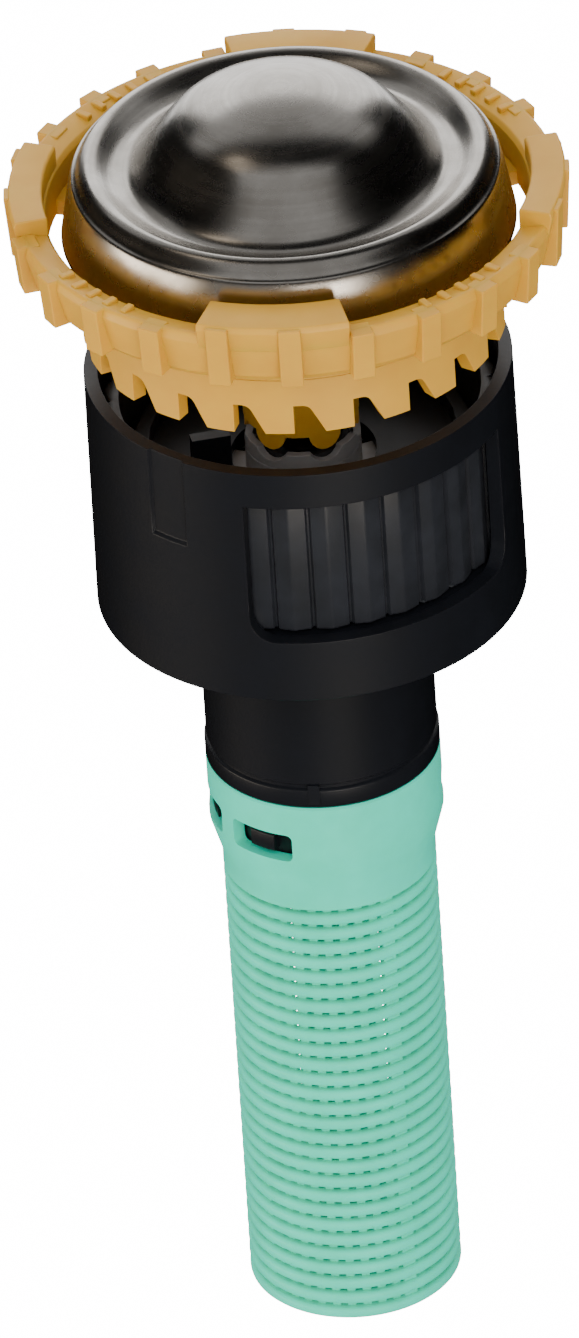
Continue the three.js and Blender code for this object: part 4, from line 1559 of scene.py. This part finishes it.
@dataclass(frozen=True)
class Softbox:
    """A rectangular light."""

    name: str
    azimuth: float
    elevation: float
    distance: float
    width: float
    height: float
    brightness: float  # radiance of its face
    colour: str = "#ffffff"
    mirrored: bool = True  # whether polished surfaces show it

    def build(self, target: Vector) -> None:
        """Places the light so that it faces the target."""
        light = bpy.data.lights.new(self.name, "AREA")
        light.shape, light.size, light.size_y = "RECTANGLE", self.width, self.height
        light.energy = self.brightness * math.pi * self.width * self.height
        light.color = linear(self.colour)[:3]
        lamp = bpy.data.objects.new(self.name, light)
        bpy.context.scene.collection.objects.link(lamp)
        lamp.visible_glossy = self.mirrored
        rise = math.radians(self.elevation)
        away = at(self.azimuth, self.distance * math.cos(rise), self.distance * math.sin(rise))
        lamp.location = target + away
        lamp.rotation_euler = away.to_track_quat("Z", "Y").to_euler()


@dataclass
class Studio:
    """Floor, soft light and the camera, in metres."""

    view_height: float = 0.0753
    elevation: float = 33.6
    roll: float = 3.75
    aim_height: float = -0.00966
    aim_left: float = 0.0016
    distance: float = 1.4
    sensor: float = 36.0
    world_strength: float = 0.95
    floor_strength: float = 16.0
    softboxes: tuple[Softbox, ...] = (
        Softbox("back_wall", 180, 17, 0.6, 0.62, 0.62, 2.0),
        Softbox("front_card", 0, 52, 0.6, 0.8, 0.45, 0.42),
        Softbox("ceiling", 180, 60, 0.6, 1.3, 0.28, 0.4),
        Softbox("low_card", 0, -4, 0.7, 1.2, 0.35, 0.3),
        Softbox("left_window", -74, -6, 0.5, 0.42, 0.18, 5.2, "#fff0dc"),
        Softbox("right_window", 15, -7, 0.5, 0.26, 0.13, 9.0, "#fff4e6"),
        Softbox("dome_spot", -75, 62, 0.6, 0.16, 0.12, 1.2, "#fff0dc"),
        Softbox("front_key", 0, 35, 0.7, 0.6, 0.6, 1.8, mirrored=False),
    )

    def build(self) -> None:
        """Builds the world, the floor, the lights and the camera."""
        self._world()
        self._floor()
        target = Vector((0, 0, self.aim_height))
        for softbox in self.softboxes:
            softbox.build(target)
        self._camera()
        log.info("studio: %d softboxes", len(self.softboxes))

    def _world(self) -> None:
        """Lights the room evenly, out of sight of the reflections."""
        world = bpy.data.worlds.new("white_room")
        world.use_nodes = True
        world.node_tree.nodes.clear()
        background = add_node(
            world.node_tree,
            "ShaderNodeBackground",
            {"Color": linear("#ffffff"), "Strength": self.world_strength},
        )
        add_node(
            world.node_tree, "ShaderNodeOutputWorld", links={"Surface": background.outputs["Background"]}
        )
        world.cycles_visibility.glossy = False
        bpy.context.scene.world = world

    def _floor(self) -> None:
        """Lays a white floor under the object."""
        low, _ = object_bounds()
        mesh = bpy.data.meshes.new("white_floor")
        plane = bmesh.new()
        bmesh.ops.create_grid(plane, x_segments=1, y_segments=1, size=4)
        bmesh.ops.translate(plane, vec=(0, 0, low.z - 0.2 * MM), verts=plane.verts)
        plane.to_mesh(mesh)
        plane.free()
        floor = bpy.data.objects.new("white_floor", mesh)
        bpy.context.scene.collection.objects.link(floor)
        material = bpy.data.materials.new("lit_opal_sheet")
        material.use_nodes = True
        tree = material.node_tree
        tree.nodes.clear()
        # Opal sheet lit from below: an even white that takes no shadow and lights nothing else.
        glow = add_node(
            tree, "ShaderNodeEmission", {"Color": linear("#ffffff"), "Strength": self.floor_strength}
        )
        add_node(tree, "ShaderNodeOutputMaterial", links={"Surface": glow.outputs["Emission"]})
        mesh.materials.append(material)
        floor.visible_glossy = floor.visible_diffuse = floor.visible_shadow = False
        floor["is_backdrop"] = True

    def _camera(self) -> None:
        """Sets up a long lens that looks down on the front of the object."""
        lens = bpy.data.cameras.new("long_lens")
        lens.sensor_width = self.sensor
        lens.lens = self.sensor * self.distance / self.view_height
        camera = bpy.data.objects.new("long_lens", lens)
        bpy.context.scene.collection.objects.link(camera)
        rise, roll = math.radians(self.elevation), math.radians(self.roll)
        back = Vector((0, -math.cos(rise), math.sin(rise)))
        right = Vector((1, 0, 0))
        up = Vector((0, math.sin(rise), math.cos(rise)))
        camera_up = up * math.cos(roll) + right * math.sin(roll)
        camera_right = right * math.cos(roll) - up * math.sin(roll)
        aim = Vector((0, 0, self.aim_height)) - camera_right * self.aim_left
        facing = Matrix((camera_right, camera_up, back)).transposed().to_4x4()
        camera.matrix_world = Matrix.Translation(aim + back * self.distance) @ facing
        lens.clip_start, lens.clip_end = 0.01, 20
        bpy.context.scene.camera = camera


# ---------------------------------------------------------------- assembly


def main() -> None:
    """Builds the nozzle's pieces round the frame, and the studio round the nozzle."""
    logging.basicConfig(level=logging.INFO, format="%(name)s: %(message)s")
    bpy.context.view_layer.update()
    workshop = Workshop()
    workshop.dress_carried_nodes()
    for part in (
        Cap(workshop),
        Crown(workshop),
        Deflector(workshop),
        BodyShell(workshop),
        RadiusRing(workshop),
        ValveSleeve(workshop),
        FilterScreen(workshop),
    ):
        part.build()
    Studio().build()


if __name__ == "__main__":
    main()
